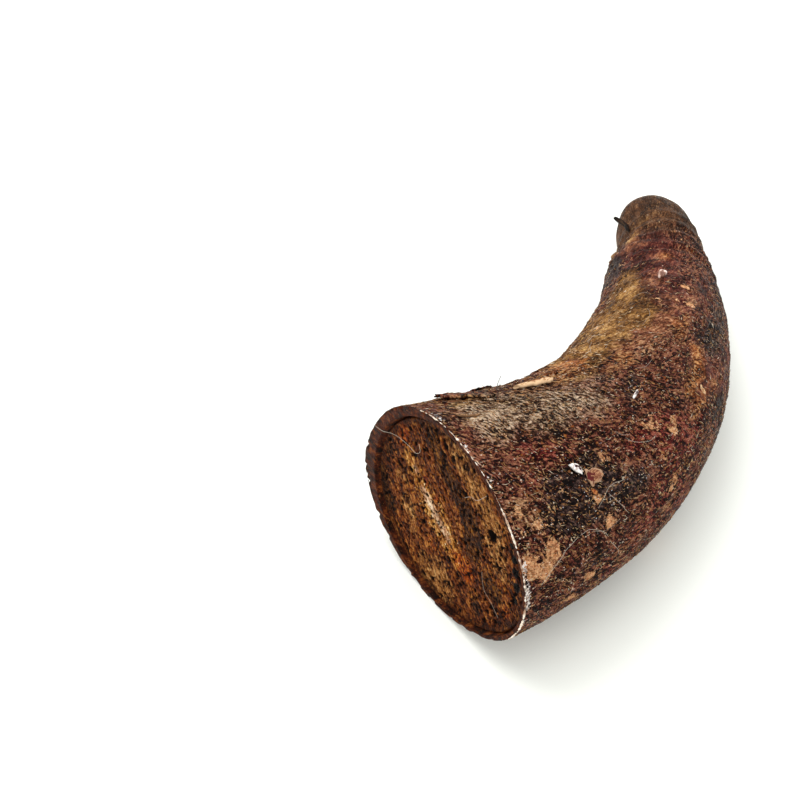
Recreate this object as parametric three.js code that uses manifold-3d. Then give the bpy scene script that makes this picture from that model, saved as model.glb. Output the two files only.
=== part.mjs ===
// A cow horn, sawn off square at the base and dried with its bone still inside.
// It is a horn sheath, a hollow cone that turns solid towards the tip, round a bone core that ends
// a millimetre inside the sawn rim. It lies on its side, curling away from its sawn end.
// Millimetres, +Z up. The origin is on the surface it lies on, under the middle of its bounding box,
// and the tip points along +Y.
import * as THREE from "three";
import { ImprovedNoise } from "three/addons/math/ImprovedNoise.js";
import { mergeVertices } from "three/addons/utils/BufferGeometryUtils.js";
import Module from "manifold-3d";

// The middle line of the horn, seen from above
const HORN_LENGTH = 172; // along the middle line, from the saw cut to the tip
const CUT_CENTRE = { x: -30.73, y: -59.48 }; // middle of the sawn end
const CUT_HEADING = 27; // degrees from +X to the way the horn leaves the cut
const TURN_RATES = [50, 113, 80, 30, 47]; // degrees per horn length, at even steps from cut to tip

// The sections across it
const CUT_HALF_WIDTH = 33;
const TIP_HALF_WIDTH = 10; // of the cone where it would meet the tip, before rounding
const TIP_ROUNDING = 13; // length of the rounded end
const FLATNESS = { cut: 0.83, tip: 0.9 }; // height over width
const CUT_ROLL = -4.5; // degrees the oval leans at the cut, fading to the tip
const EGG = { cos: -0.01, sin: -0.02 }; // three-sided part of the oval at the cut
const SAW_SLANT = -6.2; // degrees the saw cut is off square, seen from above
const SLANT_REACH = 0.35; // share of the length over which the slant dies away
const SLANT_FADE = 1.5; // how quickly it does

// The wall and what it holds
const WALL = 2.3; // of the sheath, on the average
const WALL_OFFSET = { x: -1.1, y: -0.1 }; // the wall is thinner on the outside of the curl
const HOLLOW_TALL = 1.025; // how much taller the hollow's oval is than the sheath's
const HOLLOW_DEPTH = 108; // along the middle line
const HOLLOW_FULLNESS = 3; // the higher, the longer the hollow stays a cone before it rounds off
const CORE_GAP = 0.6; // dried-out gap between sheath and core
const CORE_SUNK = 1; // the core's sawn face, below the rim
const CORE_CHAMFER = 0.5;
const CORE_END = HOLLOW_DEPTH - 2;

// Swellings and hollows of the sheath: degrees round the section, place and reach as shares of the
// length, reach round it in degrees, and height
const SWELLINGS = [
  { angle: 190, at: 0.64, along: 0.1, round: 50, height: 0.3 }, // outside of the bend
  { angle: 170, at: 0.88, along: 0.07, round: 40, height: 0.1 }, // outer shoulder of the tip
  { angle: 60, at: 0.95, along: 0.03, round: 40, height: 0.5 }, // inner shoulder of the tip
  { angle: 22, at: 0.875, along: 0.065, round: 48, height: -3.6 }, // waist on the inner side of the tip
  { angle: 40, at: 0.67, along: 0.06, round: 40, height: -0.8 }, // hollow before the waist
  { angle: 350, at: 0.01, along: 0.02, round: 18, height: 1.6 }, // torn lip on the rim
  { angle: 70, at: 0.14, along: 0.04, round: 14, height: 0.4 }, // root of the peeling splinter
  { angle: 150, at: 0.16, along: 0.05, round: 20, height: 0.6 }, // flaking scab
  { angle: 122, at: 0.4, along: 0.06, round: 18, height: 0.6 }, // lump on the back
];
const RINGS = { from: 0.72, to: 0.92, count: 5, height: 0.5, fade: 0.04 }; // growth rings behind the tip
const LUMPS = { height: 0.7, round: 11, along: 26 }; // sizes in millimetres
const FIBRES = { height: 0.6, round: 4, along: 16 }; // ridges where bundles of fibre stand up
const PITTING = { height: 0.55, round: 4.5, along: 6 };
const SMOOTH_TIP = 0.97; // share of the length where the relief starts to fade
const SMOOTH_UNDERSIDE = 6; // the higher, the narrower the worn strip underneath
const CALM_RIM = { relief: 0.35, reach: 0.05 }; // share of the relief left at the cut, and where it is back
const RIM_RAGGED = { depth: 0.7, size: 6 }; // chips out of the sawn rim's outer edge

// Slivers that stand off the sheath. Angle and at give the foot's middle. Turn is degrees from the
// horn's length, lift raises the end nearer the cut, and sunk is how deep its middle lies in the sheath
const SLIVERS = [
  { angle: 58, at: 0.108, length: 15, width: 4.4, thick: 1, turn: 22, lift: 3, sunk: 0.6 }, // splinter
  { angle: 67, at: 0.207, length: 10.5, width: 3, thick: 0.9, turn: 6, lift: 2, sunk: 0.15 }, // pale chip
  { angle: 33, at: 0.91, length: 8, width: 1.7, thick: 1.4, turn: 0, lift: -52, sunk: 0.1 }, // spur
  { angle: 84, at: 0.045, length: 6, width: 2, thick: 0.8, turn: 14, lift: 6, sunk: 0.2 }, // by the rim
  { angle: 131, at: 0.147, length: 4.5, width: 3.6, thick: 0.7, turn: 80, lift: 8, sunk: 0.2 }, // scab
  { angle: 20, at: 0.8, length: 6, width: 2.5, thick: 0.9, turn: 8, lift: 6, sunk: 0.2 }, // by the waist
];

// Open pores in the core's sawn face, spread by the golden angle, and the largest one
const PORES = { count: 18, reach: 0.84, length: 2, width: 1.5, depth: 0.9 };
const BIG_PORE = { x: -16.8, y: 9.8, length: 3.6, width: 2.8, depth: 1.6 };

// How finely it is faceted
const SIDES = 56;
const OUTER_STEPS = 50;
const CAP_STEPS = 6;
const INNER_STEPS = 9;
const PORE_FACETS = { round: 8, over: 4 };

const noise = new ImprovedNoise();
const rad = THREE.MathUtils.degToRad;
const { lerp, clamp, smoothstep, euclideanModulo } = THREE.MathUtils;

// Turn rate, in radians per horn length, at a share of the length
function turnRate(share) {
  const place = clamp(share, 0, 1) * (TURN_RATES.length - 1);
  const step = Math.min(Math.floor(place), TURN_RATES.length - 2);
  return rad(lerp(TURN_RATES[step], TURN_RATES[step + 1], place - step));
}

// Heading and plan position of the middle line, added up in small steps
const LINE_STEPS = 688;
const line = [{ x: CUT_CENTRE.x, y: CUT_CENTRE.y, heading: rad(CUT_HEADING) }];
for (let i = 0; i < LINE_STEPS; i++) {
  const from = line[i];
  const heading = from.heading + turnRate((i + 0.5) / LINE_STEPS) / LINE_STEPS;
  const middle = (from.heading + heading) / 2;
  const step = HORN_LENGTH / LINE_STEPS;
  line.push({ x: from.x + step * Math.cos(middle), y: from.y + step * Math.sin(middle), heading });
}

// A point of the section at a share of the length: x towards the inside of the curl, y up
function sectionPoint(radius, angle, share) {
  const left = 1 - share;
  const egg = 1 + left * left * (EGG.cos * Math.cos(3 * angle) + EGG.sin * Math.sin(3 * angle));
  const x = radius * egg * Math.cos(angle);
  const y = radius * egg * Math.sin(angle) * lerp(FLATNESS.cut, FLATNESS.tip, share);
  return new THREE.Vector2(x, y).rotateAround(new THREE.Vector2(), rad(CUT_ROLL) * left);
}

const coneHalfWidth = (share) => lerp(CUT_HALF_WIDTH, TIP_HALF_WIDTH, share);

// Height of the middle line where the cone's underside touches the surface all along
const UNDERSIDE_STEP = 4; // degrees
function restHeight(share) {
  let lowest = 0;
  for (let angle = 180; angle < 360; angle += UNDERSIDE_STEP) {
    lowest = Math.min(lowest, sectionPoint(coneHalfWidth(share), rad(angle), share).y);
  }
  return -lowest;
}

// The middle line's place and directions at a share of the length
const SLOPE_STEP = 0.01;
function station(share) {
  const place = clamp(share, 0, 1) * LINE_STEPS;
  const i = Math.min(Math.floor(place), LINE_STEPS - 1);
  const part = place - i;
  const heading = lerp(line[i].heading, line[i + 1].heading, part);
  const rise = restHeight(share + SLOPE_STEP) - restHeight(share - SLOPE_STEP);
  const slope = rise / (2 * SLOPE_STEP * HORN_LENGTH);
  const along = new THREE.Vector3(Math.cos(heading), Math.sin(heading), slope).normalize();
  const inward = new THREE.Vector3(-Math.sin(heading), Math.cos(heading), 0);
  const centre = new THREE.Vector3(
    lerp(line[i].x, line[i + 1].x, part),
    lerp(line[i].y, line[i + 1].y, part),
    restHeight(share),
  );
  return { centre, along, inward, up: new THREE.Vector3().crossVectors(along, inward) };
}

// Moves a flat point of the section at y along the straight horn to its place on the curled one
function curlFlat(flat, y) {
  const share = y / HORN_LENGTH;
  const at = station(share);
  const fade = Math.max(0, 1 - share / SLANT_REACH) ** SLANT_FADE;
  return at.centre
    .clone()
    .addScaledVector(at.inward, flat.x)
    .addScaledVector(at.up, flat.y)
    .addScaledVector(at.along, flat.x * Math.tan(rad(SAW_SLANT)) * fade);
}

const curl = (radius, angle, y) => curlFlat(sectionPoint(radius, angle, y / HORN_LENGTH), y);

// How far the hollow and the core are off the middle of the sheath, fading to the tip
function wallOffset(y) {
  const left = 1 - y / HORN_LENGTH;
  return new THREE.Vector2(WALL_OFFSET.x * left, WALL_OFFSET.y * left);
}

// Noise over the straight horn's surface, in patches of the given sizes
function patches(angle, y, { round, along, height }, shift) {
  const radius = coneHalfWidth(y / HORN_LENGTH);
  const x = (radius * Math.cos(angle)) / round + shift;
  return height * noise.noise(x, y / along, (radius * Math.sin(angle)) / round);
}

function swelling(angle, share, { angle: middle, at, along, round, height }) {
  const turn = euclideanModulo(THREE.MathUtils.radToDeg(angle) - middle + 180, 360) - 180;
  return height * Math.exp(-((turn / round) ** 2) - ((share - at) / along) ** 2);
}

function growthRings(share) {
  const { from, to, count, height, fade } = RINGS;
  const within = smoothstep(share, from, from + fade) * (1 - smoothstep(share, to - fade, to));
  return height * within * Math.sin(((share - from) / (to - from)) * count * 2 * Math.PI);
}

// How far the sheath's outside stands off the smooth cone
function relief(angle, y) {
  const share = y / HORN_LENGTH;
  const ridges = FIBRES.height / 2 - Math.abs(2 * patches(angle, y, FIBRES, 3));
  const bumps = patches(angle, y, LUMPS, 0) + patches(angle, y, PITTING, 7) + ridges;
  let height = growthRings(share) + bumps * lerp(CALM_RIM.relief, 1, smoothstep(share, 0, CALM_RIM.reach));
  for (const one of SWELLINGS) height += swelling(angle, share, one);
  const underside = Math.max(0, -Math.sin(angle)) ** SMOOTH_UNDERSIDE;
  return height * (1 - underside) * (1 - smoothstep(share, SMOOTH_TIP, 1));
}

// Turns a profile about the straight horn's axis, and puts each of its points where place says
function curledLathe(profile, place) {
  const geometry = new THREE.LatheGeometry(profile, SIDES);
  geometry.deleteAttribute("normal");
  geometry.deleteAttribute("uv");
  const position = geometry.getAttribute("position");
  const rings = profile.length;
  for (let i = 0; i < position.count; i++) {
    const ring = i % rings;
    const angle = ((Math.floor(i / rings) % SIDES) / SIDES) * 2 * Math.PI;
    position.setXYZ(i, ...place(ring, profile[ring], angle));
  }
  return mergeVertices(geometry, 1e-3);
}

// A point of the hollow or the core, which are taller ovals and off the middle of the sheath
function innerPoint({ x: radius, y }, angle) {
  const share = y / HORN_LENGTH;
  const flat = sectionPoint(radius, angle, share);
  flat.y *= lerp(HOLLOW_TALL, 1, share);
  return curlFlat(flat.add(wallOffset(y)), y);
}

// Outside radius of the straight horn, rounded off at the tip
function outerRadius(y) {
  const into = clamp((y - (HORN_LENGTH - TIP_ROUNDING)) / TIP_ROUNDING, 0, 1);
  return coneHalfWidth(y / HORN_LENGTH) * Math.sqrt(1 - into * into);
}

const outside = (angle, y) => curl(outerRadius(y) + relief(angle, y), angle, y);

// Radius of the hollow: a cone with a rounded end
function hollowRadius(y) {
  return (coneHalfWidth(y / HORN_LENGTH) - WALL) * Math.sqrt(1 - (y / HOLLOW_DEPTH) ** HOLLOW_FULLNESS);
}

// Depth of the chips out of the rim's outer edge
function rimChip(angle) {
  const [x, z] = [CUT_HALF_WIDTH * Math.cos(angle), CUT_HALF_WIDTH * Math.sin(angle)];
  return RIM_RAGGED.depth * Math.abs(noise.noise(x / RIM_RAGGED.size, 0, z / RIM_RAGGED.size)) * 2;
}

function sheathGeometry() {
  const profile = [new THREE.Vector2(0, HOLLOW_DEPTH)];
  for (let i = 1; i < INNER_STEPS; i++) {
    const y = HOLLOW_DEPTH * Math.cos((i / INNER_STEPS) * (Math.PI / 2));
    profile.push(new THREE.Vector2(hollowRadius(y), y));
  }
  profile.push(new THREE.Vector2(hollowRadius(0), 0));
  const rim = profile.length;
  const coneEnd = HORN_LENGTH - TIP_ROUNDING;
  for (let i = 0; i <= OUTER_STEPS; i++) {
    const y = (coneEnd * i) / OUTER_STEPS;
    profile.push(new THREE.Vector2(outerRadius(y), y));
  }
  for (let i = 1; i < CAP_STEPS; i++) {
    const y = coneEnd + TIP_ROUNDING * Math.sin((i / CAP_STEPS) * (Math.PI / 2));
    profile.push(new THREE.Vector2(outerRadius(y), y));
  }
  profile.push(new THREE.Vector2(0, HORN_LENGTH));
  return curledLathe(profile, (ring, point, angle) => {
    if (ring < rim) return innerPoint(point, angle);
    return outside(angle, ring === rim ? rimChip(angle) : point.y);
  });
}

function coreGeometry() {
  const radius = (y) => hollowRadius(y) - CORE_GAP;
  const sideStart = CORE_SUNK + CORE_CHAMFER;
  const profile = [new THREE.Vector2(0, CORE_SUNK)];
  profile.push(new THREE.Vector2(radius(CORE_SUNK) - CORE_CHAMFER, CORE_SUNK));
  for (let i = 0; i < INNER_STEPS; i++) {
    const y = sideStart + (CORE_END - sideStart) * Math.sin((i / INNER_STEPS) * (Math.PI / 2));
    profile.push(new THREE.Vector2(radius(y), y));
  }
  profile.push(new THREE.Vector2(0, CORE_END));
  return curledLathe(profile, (ring, point, angle) => innerPoint(point, angle));
}

const wasm = await Module();
wasm.setup();

function solid(geometry) {
  const merged = mergeVertices(geometry, 1e-3);
  return new wasm.Manifold(
    new wasm.Mesh({
      numProp: 3,
      vertProperties: merged.getAttribute("position").array,
      triVerts: new Uint32Array(merged.index.array),
    }),
  );
}

function geometryOf(manifold) {
  const mesh = manifold.getMesh();
  return new THREE.BufferGeometry()
    .setAttribute("position", new THREE.BufferAttribute(mesh.vertProperties, 3))
    .setIndex(new THREE.BufferAttribute(mesh.triVerts, 1));
}

// A thin chip with tapered, ragged ends, lying along X. Its corners are shares of length and width
const CHIP_CORNERS = [
  [-0.5, -0.2],
  [-0.3, -0.45],
  [0.1, -0.5],
  [0.5, -0.15],
  [0.45, 0.3],
  [0.05, 0.42],
  [-0.35, 0.5],
];

function chipGeometry(length, width, thick) {
  const corners = CHIP_CORNERS.map(([x, y]) => new THREE.Vector2(x * length, y * width));
  const chip = new THREE.ExtrudeGeometry(new THREE.Shape(corners), { depth: thick, bevelEnabled: false });
  chip.deleteAttribute("normal");
  chip.deleteAttribute("uv");
  return chip.translate(0, 0, -thick / 2);
}

// A chip in its place on the sheath
const FOOT_STEP = { round: 0.02, along: 1 }; // radians and millimetres
function sliverGeometry({ angle, at, length, width, thick, turn, lift, sunk }) {
  const round = rad(angle);
  const y = at * HORN_LENGTH;
  const along = outside(round, y + FOOT_STEP.along)
    .sub(outside(round, y - FOOT_STEP.along))
    .normalize();
  const across = outside(round + FOOT_STEP.round, y)
    .sub(outside(round - FOOT_STEP.round, y))
    .normalize();
  const out = new THREE.Vector3().crossVectors(across, along).normalize();
  across.crossVectors(along, out);
  const foot = outside(round, y).addScaledVector(out, thick / 2 - sunk);
  const chip = chipGeometry(length, width, thick).rotateY(rad(lift)).rotateZ(rad(-turn));
  return chip.applyMatrix4(new THREE.Matrix4().makeBasis(along, across.negate(), out).setPosition(foot));
}

function sheathWithSlivers() {
  let sheath = solid(sheathGeometry());
  for (const sliver of SLIVERS) sheath = sheath.add(solid(sliverGeometry(sliver)));
  return geometryOf(sheath);
}

// An egg-shaped hole sunk in the core's sawn face, at x and y of the section
function poreGeometry({ x, y, length, width, depth }) {
  const at = station(CORE_SUNK / HORN_LENGTH);
  const foot = curlFlat(new THREE.Vector2(x, y), CORE_SUNK);
  const across = curlFlat(new THREE.Vector2(x + 1, y), CORE_SUNK).sub(foot).normalize();
  const into = new THREE.Vector3().crossVectors(across, at.up);
  const pore = new THREE.SphereGeometry(1, PORE_FACETS.round, PORE_FACETS.over);
  pore.deleteAttribute("normal");
  pore.deleteAttribute("uv");
  pore.scale(length / 2, width / 2, depth);
  return pore.applyMatrix4(new THREE.Matrix4().makeBasis(across, at.up, into).setPosition(foot));
}

// The pores of the sawn face, every third one large
function pores() {
  const faceRadius = hollowRadius(CORE_SUNK) - CORE_GAP - CORE_CHAMFER;
  const goldenAngle = Math.PI * (3 - Math.sqrt(5));
  const all = [BIG_PORE];
  for (let i = 0; i < PORES.count; i++) {
    const radius = faceRadius * PORES.reach * Math.sqrt((i + 1) / PORES.count);
    const size = i % 3 === 0 ? 1 : 0.65;
    const { x, y } = sectionPoint(radius, i * goldenAngle, 0);
    all.push({ x, y, length: PORES.length * size, width: PORES.width * size, depth: PORES.depth * size });
  }
  return all;
}

function coreWithPores() {
  let core = solid(coreGeometry());
  for (const pore of pores()) core = core.subtract(solid(poreGeometry(pore)));
  return geometryOf(core);
}

const horn = new THREE.MeshStandardMaterial({ color: 0x3b1d15, roughness: 0.55, metalness: 0 });
const bone = new THREE.MeshStandardMaterial({ color: 0x6d4320, roughness: 0.7, metalness: 0 });

function piece(name, geometry, material) {
  geometry.computeVertexNormals();
  const mesh = new THREE.Mesh(geometry, material);
  mesh.name = name;
  return mesh;
}

const cowHorn = new THREE.Group();
cowHorn.add(piece("horn_sheath", sheathWithSlivers(), horn));
cowHorn.add(piece("bone_core", coreWithPores(), bone));

export default cowHorn;
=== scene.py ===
# A cow horn, sawn off square at the base and dried with its bone still inside: its weathered surfaces,
# the hairs, fibres and flakes stuck to it, a pale floor and soft light. Metres, in the frame of its solids.
import math

import bmesh
import bpy
import numpy as np
from mathutils import Matrix, Vector, noise


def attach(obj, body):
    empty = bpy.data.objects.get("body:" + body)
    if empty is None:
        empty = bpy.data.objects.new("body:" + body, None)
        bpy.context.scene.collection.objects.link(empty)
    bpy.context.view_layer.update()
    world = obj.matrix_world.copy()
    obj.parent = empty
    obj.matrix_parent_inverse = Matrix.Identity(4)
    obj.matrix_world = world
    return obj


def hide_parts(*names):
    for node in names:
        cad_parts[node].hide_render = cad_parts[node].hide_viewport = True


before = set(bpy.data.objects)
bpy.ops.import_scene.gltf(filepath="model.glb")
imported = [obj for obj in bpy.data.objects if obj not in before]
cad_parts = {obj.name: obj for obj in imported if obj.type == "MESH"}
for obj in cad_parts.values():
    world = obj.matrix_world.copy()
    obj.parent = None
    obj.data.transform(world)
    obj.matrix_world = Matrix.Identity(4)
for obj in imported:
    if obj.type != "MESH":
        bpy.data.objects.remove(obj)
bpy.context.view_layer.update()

# The horn's own sizes, as its solids have them
HORN_LENGTH = 0.172
CUT_CENTRE = (-0.03073, -0.05948)
CUT_HEADING = math.radians(27)
TURN_RATES = (50, 113, 80, 30, 47)  # degrees per horn length, at even steps from cut to tip
CUT_HALF_WIDTH = 0.033
TIP_HALF_WIDTH = 0.010
TIP_ROUNDING = 0.013
FLATNESS_CUT = 0.83
FLATNESS_TIP = 0.9
CUT_ROLL = math.radians(-4.5)
EGG_COS = -0.01
EGG_SIN = -0.02
SAW_SLANT = math.radians(-6.2)
SLANT_REACH = 0.35
SLANT_FADE = 1.5
WALL = 0.0023
WALL_OFFSET = (-0.0011, -0.0001)
HOLLOW_TALL = 1.025
HOLLOW_DEPTH = 0.108
HOLLOW_FULLNESS = 3
CORE_GAP = 0.0006
CORE_SUNK = 0.001
CORE_END = HOLLOW_DEPTH - 0.002

# Swellings and hollows of the sheath: degrees round the section, share of the length, reach along it
# as a share, reach round it in degrees, and height
SWELLINGS = (
    (190, 0.64, 0.1, 50, 0.0003),
    (170, 0.88, 0.07, 40, 0.0001),
    (60, 0.95, 0.03, 40, 0.0005),
    (22, 0.875, 0.065, 48, -0.0036),
    (40, 0.67, 0.06, 40, -0.0008),
    (350, 0.01, 0.02, 18, 0.0016),
    (70, 0.14, 0.04, 14, 0.0004),
    (150, 0.16, 0.05, 20, 0.0006),
    (122, 0.4, 0.06, 18, 0.0006),
)

# Growth rings: between which shares of the length they lie, how many, over what share they fade, height
RINGS_FROM = 0.72
RINGS_TO = 0.92
RINGS_COUNT = 5
RINGS_FADE = 0.04
RINGS_HEIGHT = 0.0004

# From which share the tip is smooth, and how sharply the smooth underside ends
SMOOTH_TIP = 0.97
SMOOTH_UNDERSIDE = 6
SKIN_RADIUS = 0.026  # at which the flat skin's distances round the horn are true

# How finely the meshes are divided
SHEATH_SIDES = 352
SHEATH_STEPS = 232
CAP_STEPS = 22
HOLLOW_STEPS = 10
HOLLOW_SPACING = 1.5  # gathers the hollow's rings towards its ends
RIM_STEPS = 8
CORE_SIDES = 384
FACE_STEPS = 120

# The middle line and the height at which its cone's underside touches the surface, in small steps
LINE_STEPS = 688
shares = np.linspace(0, 1, LINE_STEPS + 1)


def section_point(radius, angle, share):
    """x towards the inside of the curl and y up, of a point of the section at a share of the length."""
    left = 1 - share
    egg = 1 + left * left * (EGG_COS * np.cos(3 * angle) + EGG_SIN * np.sin(3 * angle))
    x = radius * egg * np.cos(angle)
    y = radius * egg * np.sin(angle) * (FLATNESS_CUT + (FLATNESS_TIP - FLATNESS_CUT) * share)
    roll = CUT_ROLL * left
    return x * np.cos(roll) - y * np.sin(roll), x * np.sin(roll) + y * np.cos(roll)


def cone_half_width(share):
    return CUT_HALF_WIDTH + (TIP_HALF_WIDTH - CUT_HALF_WIDTH) * share


def middle_line():
    """Headings, plan positions and heights of the middle line at the shares, and its slopes."""
    between = (shares[1:] + shares[:-1]) / 2
    rates = np.interp(between, np.linspace(0, 1, len(TURN_RATES)), TURN_RATES)
    headings = CUT_HEADING + np.concatenate([[0], np.cumsum(np.radians(rates))]) / LINE_STEPS
    middles = (headings[1:] + headings[:-1]) / 2
    step = HORN_LENGTH / LINE_STEPS
    x = CUT_CENTRE[0] + np.concatenate([[0], np.cumsum(np.cos(middles))]) * step
    y = CUT_CENTRE[1] + np.concatenate([[0], np.cumsum(np.sin(middles))]) * step
    underside = np.radians(np.arange(180, 360, 4))
    at = shares[:, None]
    heights = -section_point(cone_half_width(at), underside, at)[1].min(axis=1)
    return headings, x, y, heights, np.gradient(heights, step)


line_headings, line_x, line_y, line_heights, line_slopes = middle_line()


def curl_flat(x, up, along):
    """Moves a flat point of the section at a place along the straight horn to the curled one."""
    share = along / HORN_LENGTH
    heading = np.interp(share, shares, line_headings)
    slope = np.interp(share, shares, line_slopes)
    scale = 1 / np.sqrt(1 + slope * slope)
    forward = np.stack([np.cos(heading) * scale, np.sin(heading) * scale, slope * scale], -1)
    inward = np.stack([-np.sin(heading), np.cos(heading), np.zeros_like(heading)], -1)
    upward = np.cross(forward, inward)
    centre = np.stack([np.interp(share, shares, line) for line in (line_x, line_y, line_heights)], -1)
    fade = np.maximum(0, 1 - np.maximum(share, 0) / SLANT_REACH) ** SLANT_FADE
    ahead = x * math.tan(SAW_SLANT) * fade + np.minimum(along, 0)
    return centre + inward * x[..., None] + upward * up[..., None] + forward * ahead[..., None]


def curl(radius, angle, along):
    return curl_flat(*section_point(radius, angle, np.clip(along / HORN_LENGTH, 0, 1)), along)


def smooth_step(value, low, high):
    share = np.clip((value - low) / (high - low), 0, 1)
    return share * share * (3 - 2 * share)


def patchy(points, size, seed):
    """Noise from -1 to 1 in patches of a size, or of three sizes along X, Y and Z."""
    rows = (points / np.array(size) + seed).tolist()
    return np.array([noise.noise(row) for row in rows])


def layered(points, layers, start=0.0):
    """Several such noises added to a start, each given by its strength, its size and its seed."""
    for strength, size, seed in layers:
        start = start + strength * patchy(points, size, seed)
    return start


def straight_points(radius, angle, along):
    return np.stack([radius * np.cos(angle), along, radius * np.sin(angle)], -1)


def degrees_from(angle, middle):
    """Degrees from a place round the section, from -180 to 180."""
    return (np.degrees(angle) - middle + 180) % 360 - 180


def blobs(angle, along, places):
    """Soft spots over the sheath, each given by degrees round, share along, and its reach both ways."""
    share = along / HORN_LENGTH
    total = np.zeros_like(share)
    for around, at, reach_along, reach_round, height in places:
        turn = degrees_from(angle, around) / reach_round
        total += height * np.exp(-turn * turn - ((share - at) / reach_along) ** 2)
    return total


def growth_rings(share):
    within = smooth_step(share, RINGS_FROM, RINGS_FROM + RINGS_FADE)
    within *= 1 - smooth_step(share, RINGS_TO - RINGS_FADE, RINGS_TO)
    turn = (share - RINGS_FROM) / (RINGS_TO - RINGS_FROM) * RINGS_COUNT * 2 * math.pi
    return RINGS_HEIGHT * within * np.sin(turn)


# Relief of the sheath: height, size round and size along, and its seed
LUMPS = (0.0006, 0.011, 0.026, 0)
PITTING = (0.0004, 0.0045, 0.006, 7)
FIBRE_RIDGES = (0.0004, 0.004, 0.014, 3)
FINE_RIDGES = (0.00022, 0.0014, 0.0045, 11)
CRUMBS = (0.00022, 0.0011, 0.0013, 17)
WRINKLES = (0.0005, 0.016, 0.0024, 23)
CALM_RIM = 0.35  # share of the relief left at the cut
CALM_REACH = 0.05

# Where the sheath is rough: the middle of that side in degrees round, how much of it is left opposite, and
# how much of it goes between two shares of the length
ROUGH_SIDE = 80
ROUGH_LEFT = 0.35
ROUGH_FADE = 0.75
ROUGH_FADING = (0.75, 0.93)

# Shares of the length over which the wrinkles of the waist come and go
WAIST_COMES = (0.70, 0.76)
WAIST_GOES = (0.82, 0.87)


def rough_part(angle, along):
    """How fibrous and crumbly the sheath is: 1 on its upper side by the cut, little at the polished tip."""
    share = along / HORN_LENGTH
    upper = 0.5 + 0.5 * np.cos(np.radians(degrees_from(angle, ROUGH_SIDE)))
    return (ROUGH_LEFT + (1 - ROUGH_LEFT) * upper) * (1 - ROUGH_FADE * smooth_step(share, *ROUGH_FADING))


def waist(share):
    """From 0 to 1 where the skin is wrinkled across, behind the tip."""
    return smooth_step(share, *WAIST_COMES) * (1 - smooth_step(share, *WAIST_GOES))


def relief(angle, along):
    """How far the sheath's outside stands off the smooth cone."""
    share = along / HORN_LENGTH
    points = straight_points(cone_half_width(share), angle, along)

    def layer(height, round_size, along_size, seed):
        return height * patchy(points, (round_size, along_size, round_size), seed)

    def ridges(height, round_size, along_size, seed):
        return height / 2 - np.abs(2 * layer(height, round_size, along_size, seed))

    rough = rough_part(angle, along)
    bumps = layer(*LUMPS) + rough * (layer(*PITTING) + ridges(*FIBRE_RIDGES))
    bumps += rough * (ridges(*FINE_RIDGES) + layer(*CRUMBS))
    bumps += waist(share) * ridges(*WRINKLES)
    height = growth_rings(share) + blobs(angle, along, SWELLINGS)
    height += bumps * (CALM_RIM + (1 - CALM_RIM) * smooth_step(share, 0, CALM_REACH))
    underside = np.maximum(0, -np.sin(angle)) ** SMOOTH_UNDERSIDE
    return height * (1 - underside) * (1 - smooth_step(share, SMOOTH_TIP, 1))


def outer_radius(along):
    into = np.clip((along - (HORN_LENGTH - TIP_ROUNDING)) / TIP_ROUNDING, 0, 1)
    return cone_half_width(along / HORN_LENGTH) * np.sqrt(1 - into * into)


def hollow_radius(along):
    share = np.clip(along / HOLLOW_DEPTH, 0, 1)
    return (cone_half_width(along / HORN_LENGTH) - WALL) * np.sqrt(1 - share**HOLLOW_FULLNESS)


def inner_shift(x, up, along, share_inside):
    """The hollow and the core are taller ovals than the sheath, and off its middle."""
    left = (1 - along / HORN_LENGTH) * share_inside
    return x + WALL_OFFSET[0] * left, up * (1 + (HOLLOW_TALL - 1) * left) + WALL_OFFSET[1] * left


def on_sheath(angle, along, lift):
    """A place on the weathered outside of the sheath, or a little above it."""
    inside = np.clip(along, 0, HORN_LENGTH)
    return curl(outer_radius(inside) + relief(angle, inside) + lift, angle, along)


def spun(name, profile, sides):
    """A profile of radius and place along, turned about the straight horn's axis."""
    bm = bmesh.new()
    verts = [bm.verts.new((radius, along, 0)) for radius, along in profile]
    edges = [bm.edges.new(pair) for pair in zip(verts, verts[1:])]
    bmesh.ops.spin(
        bm, geom=verts + edges, cent=(0, 0, 0), axis=(0, 1, 0), angle=2 * math.pi, steps=sides, use_merge=True
    )
    bmesh.ops.remove_doubles(bm, verts=bm.verts, dist=1e-7)
    bmesh.ops.recalc_face_normals(bm, faces=bm.faces)
    return finished_mesh(name, bm)


def finished_mesh(name, bm):
    mesh = bpy.data.meshes.new(name)
    bm.to_mesh(mesh)
    bm.free()
    piece = bpy.data.objects.new(name, mesh)
    bpy.context.scene.collection.objects.link(piece)
    return piece


def points_of(piece):
    flat = np.empty(len(piece.data.vertices) * 3)
    piece.data.vertices.foreach_get("co", flat)
    return flat.reshape(-1, 3)


def move_points(piece, points):
    piece.data.vertices.foreach_set("co", np.ascontiguousarray(points, dtype=np.float32).ravel())
    piece.data.update()


def note(piece, name, values):
    """Keeps a number or a vector at each point, which the material reads."""
    kind = "FLOAT" if values.ndim == 1 else "FLOAT_VECTOR"
    layer = piece.data.attributes.new(name, kind, "POINT")
    layer.data.foreach_set("value" if values.ndim == 1 else "vector", values.astype(np.float32).ravel())


def note_place(piece, radius, angle, along):
    """Keeps where each point lies on the straight horn, and on its skin laid out flat."""
    note(piece, "straight", straight_points(radius, angle, along))
    around = np.radians(degrees_from(angle, 90)) * SKIN_RADIUS
    note(piece, "skin", np.stack([around, along, 0 * along], -1))


def smooth(piece):
    piece.data.polygons.foreach_set("use_smooth", [True] * len(piece.data.polygons))


def dress(piece, slot, *materials):
    """Gives a piece its materials, and hangs it on the horn."""
    for material in materials:
        piece.data.materials.append(material)
    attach(piece, "root")
    return piece


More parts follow.
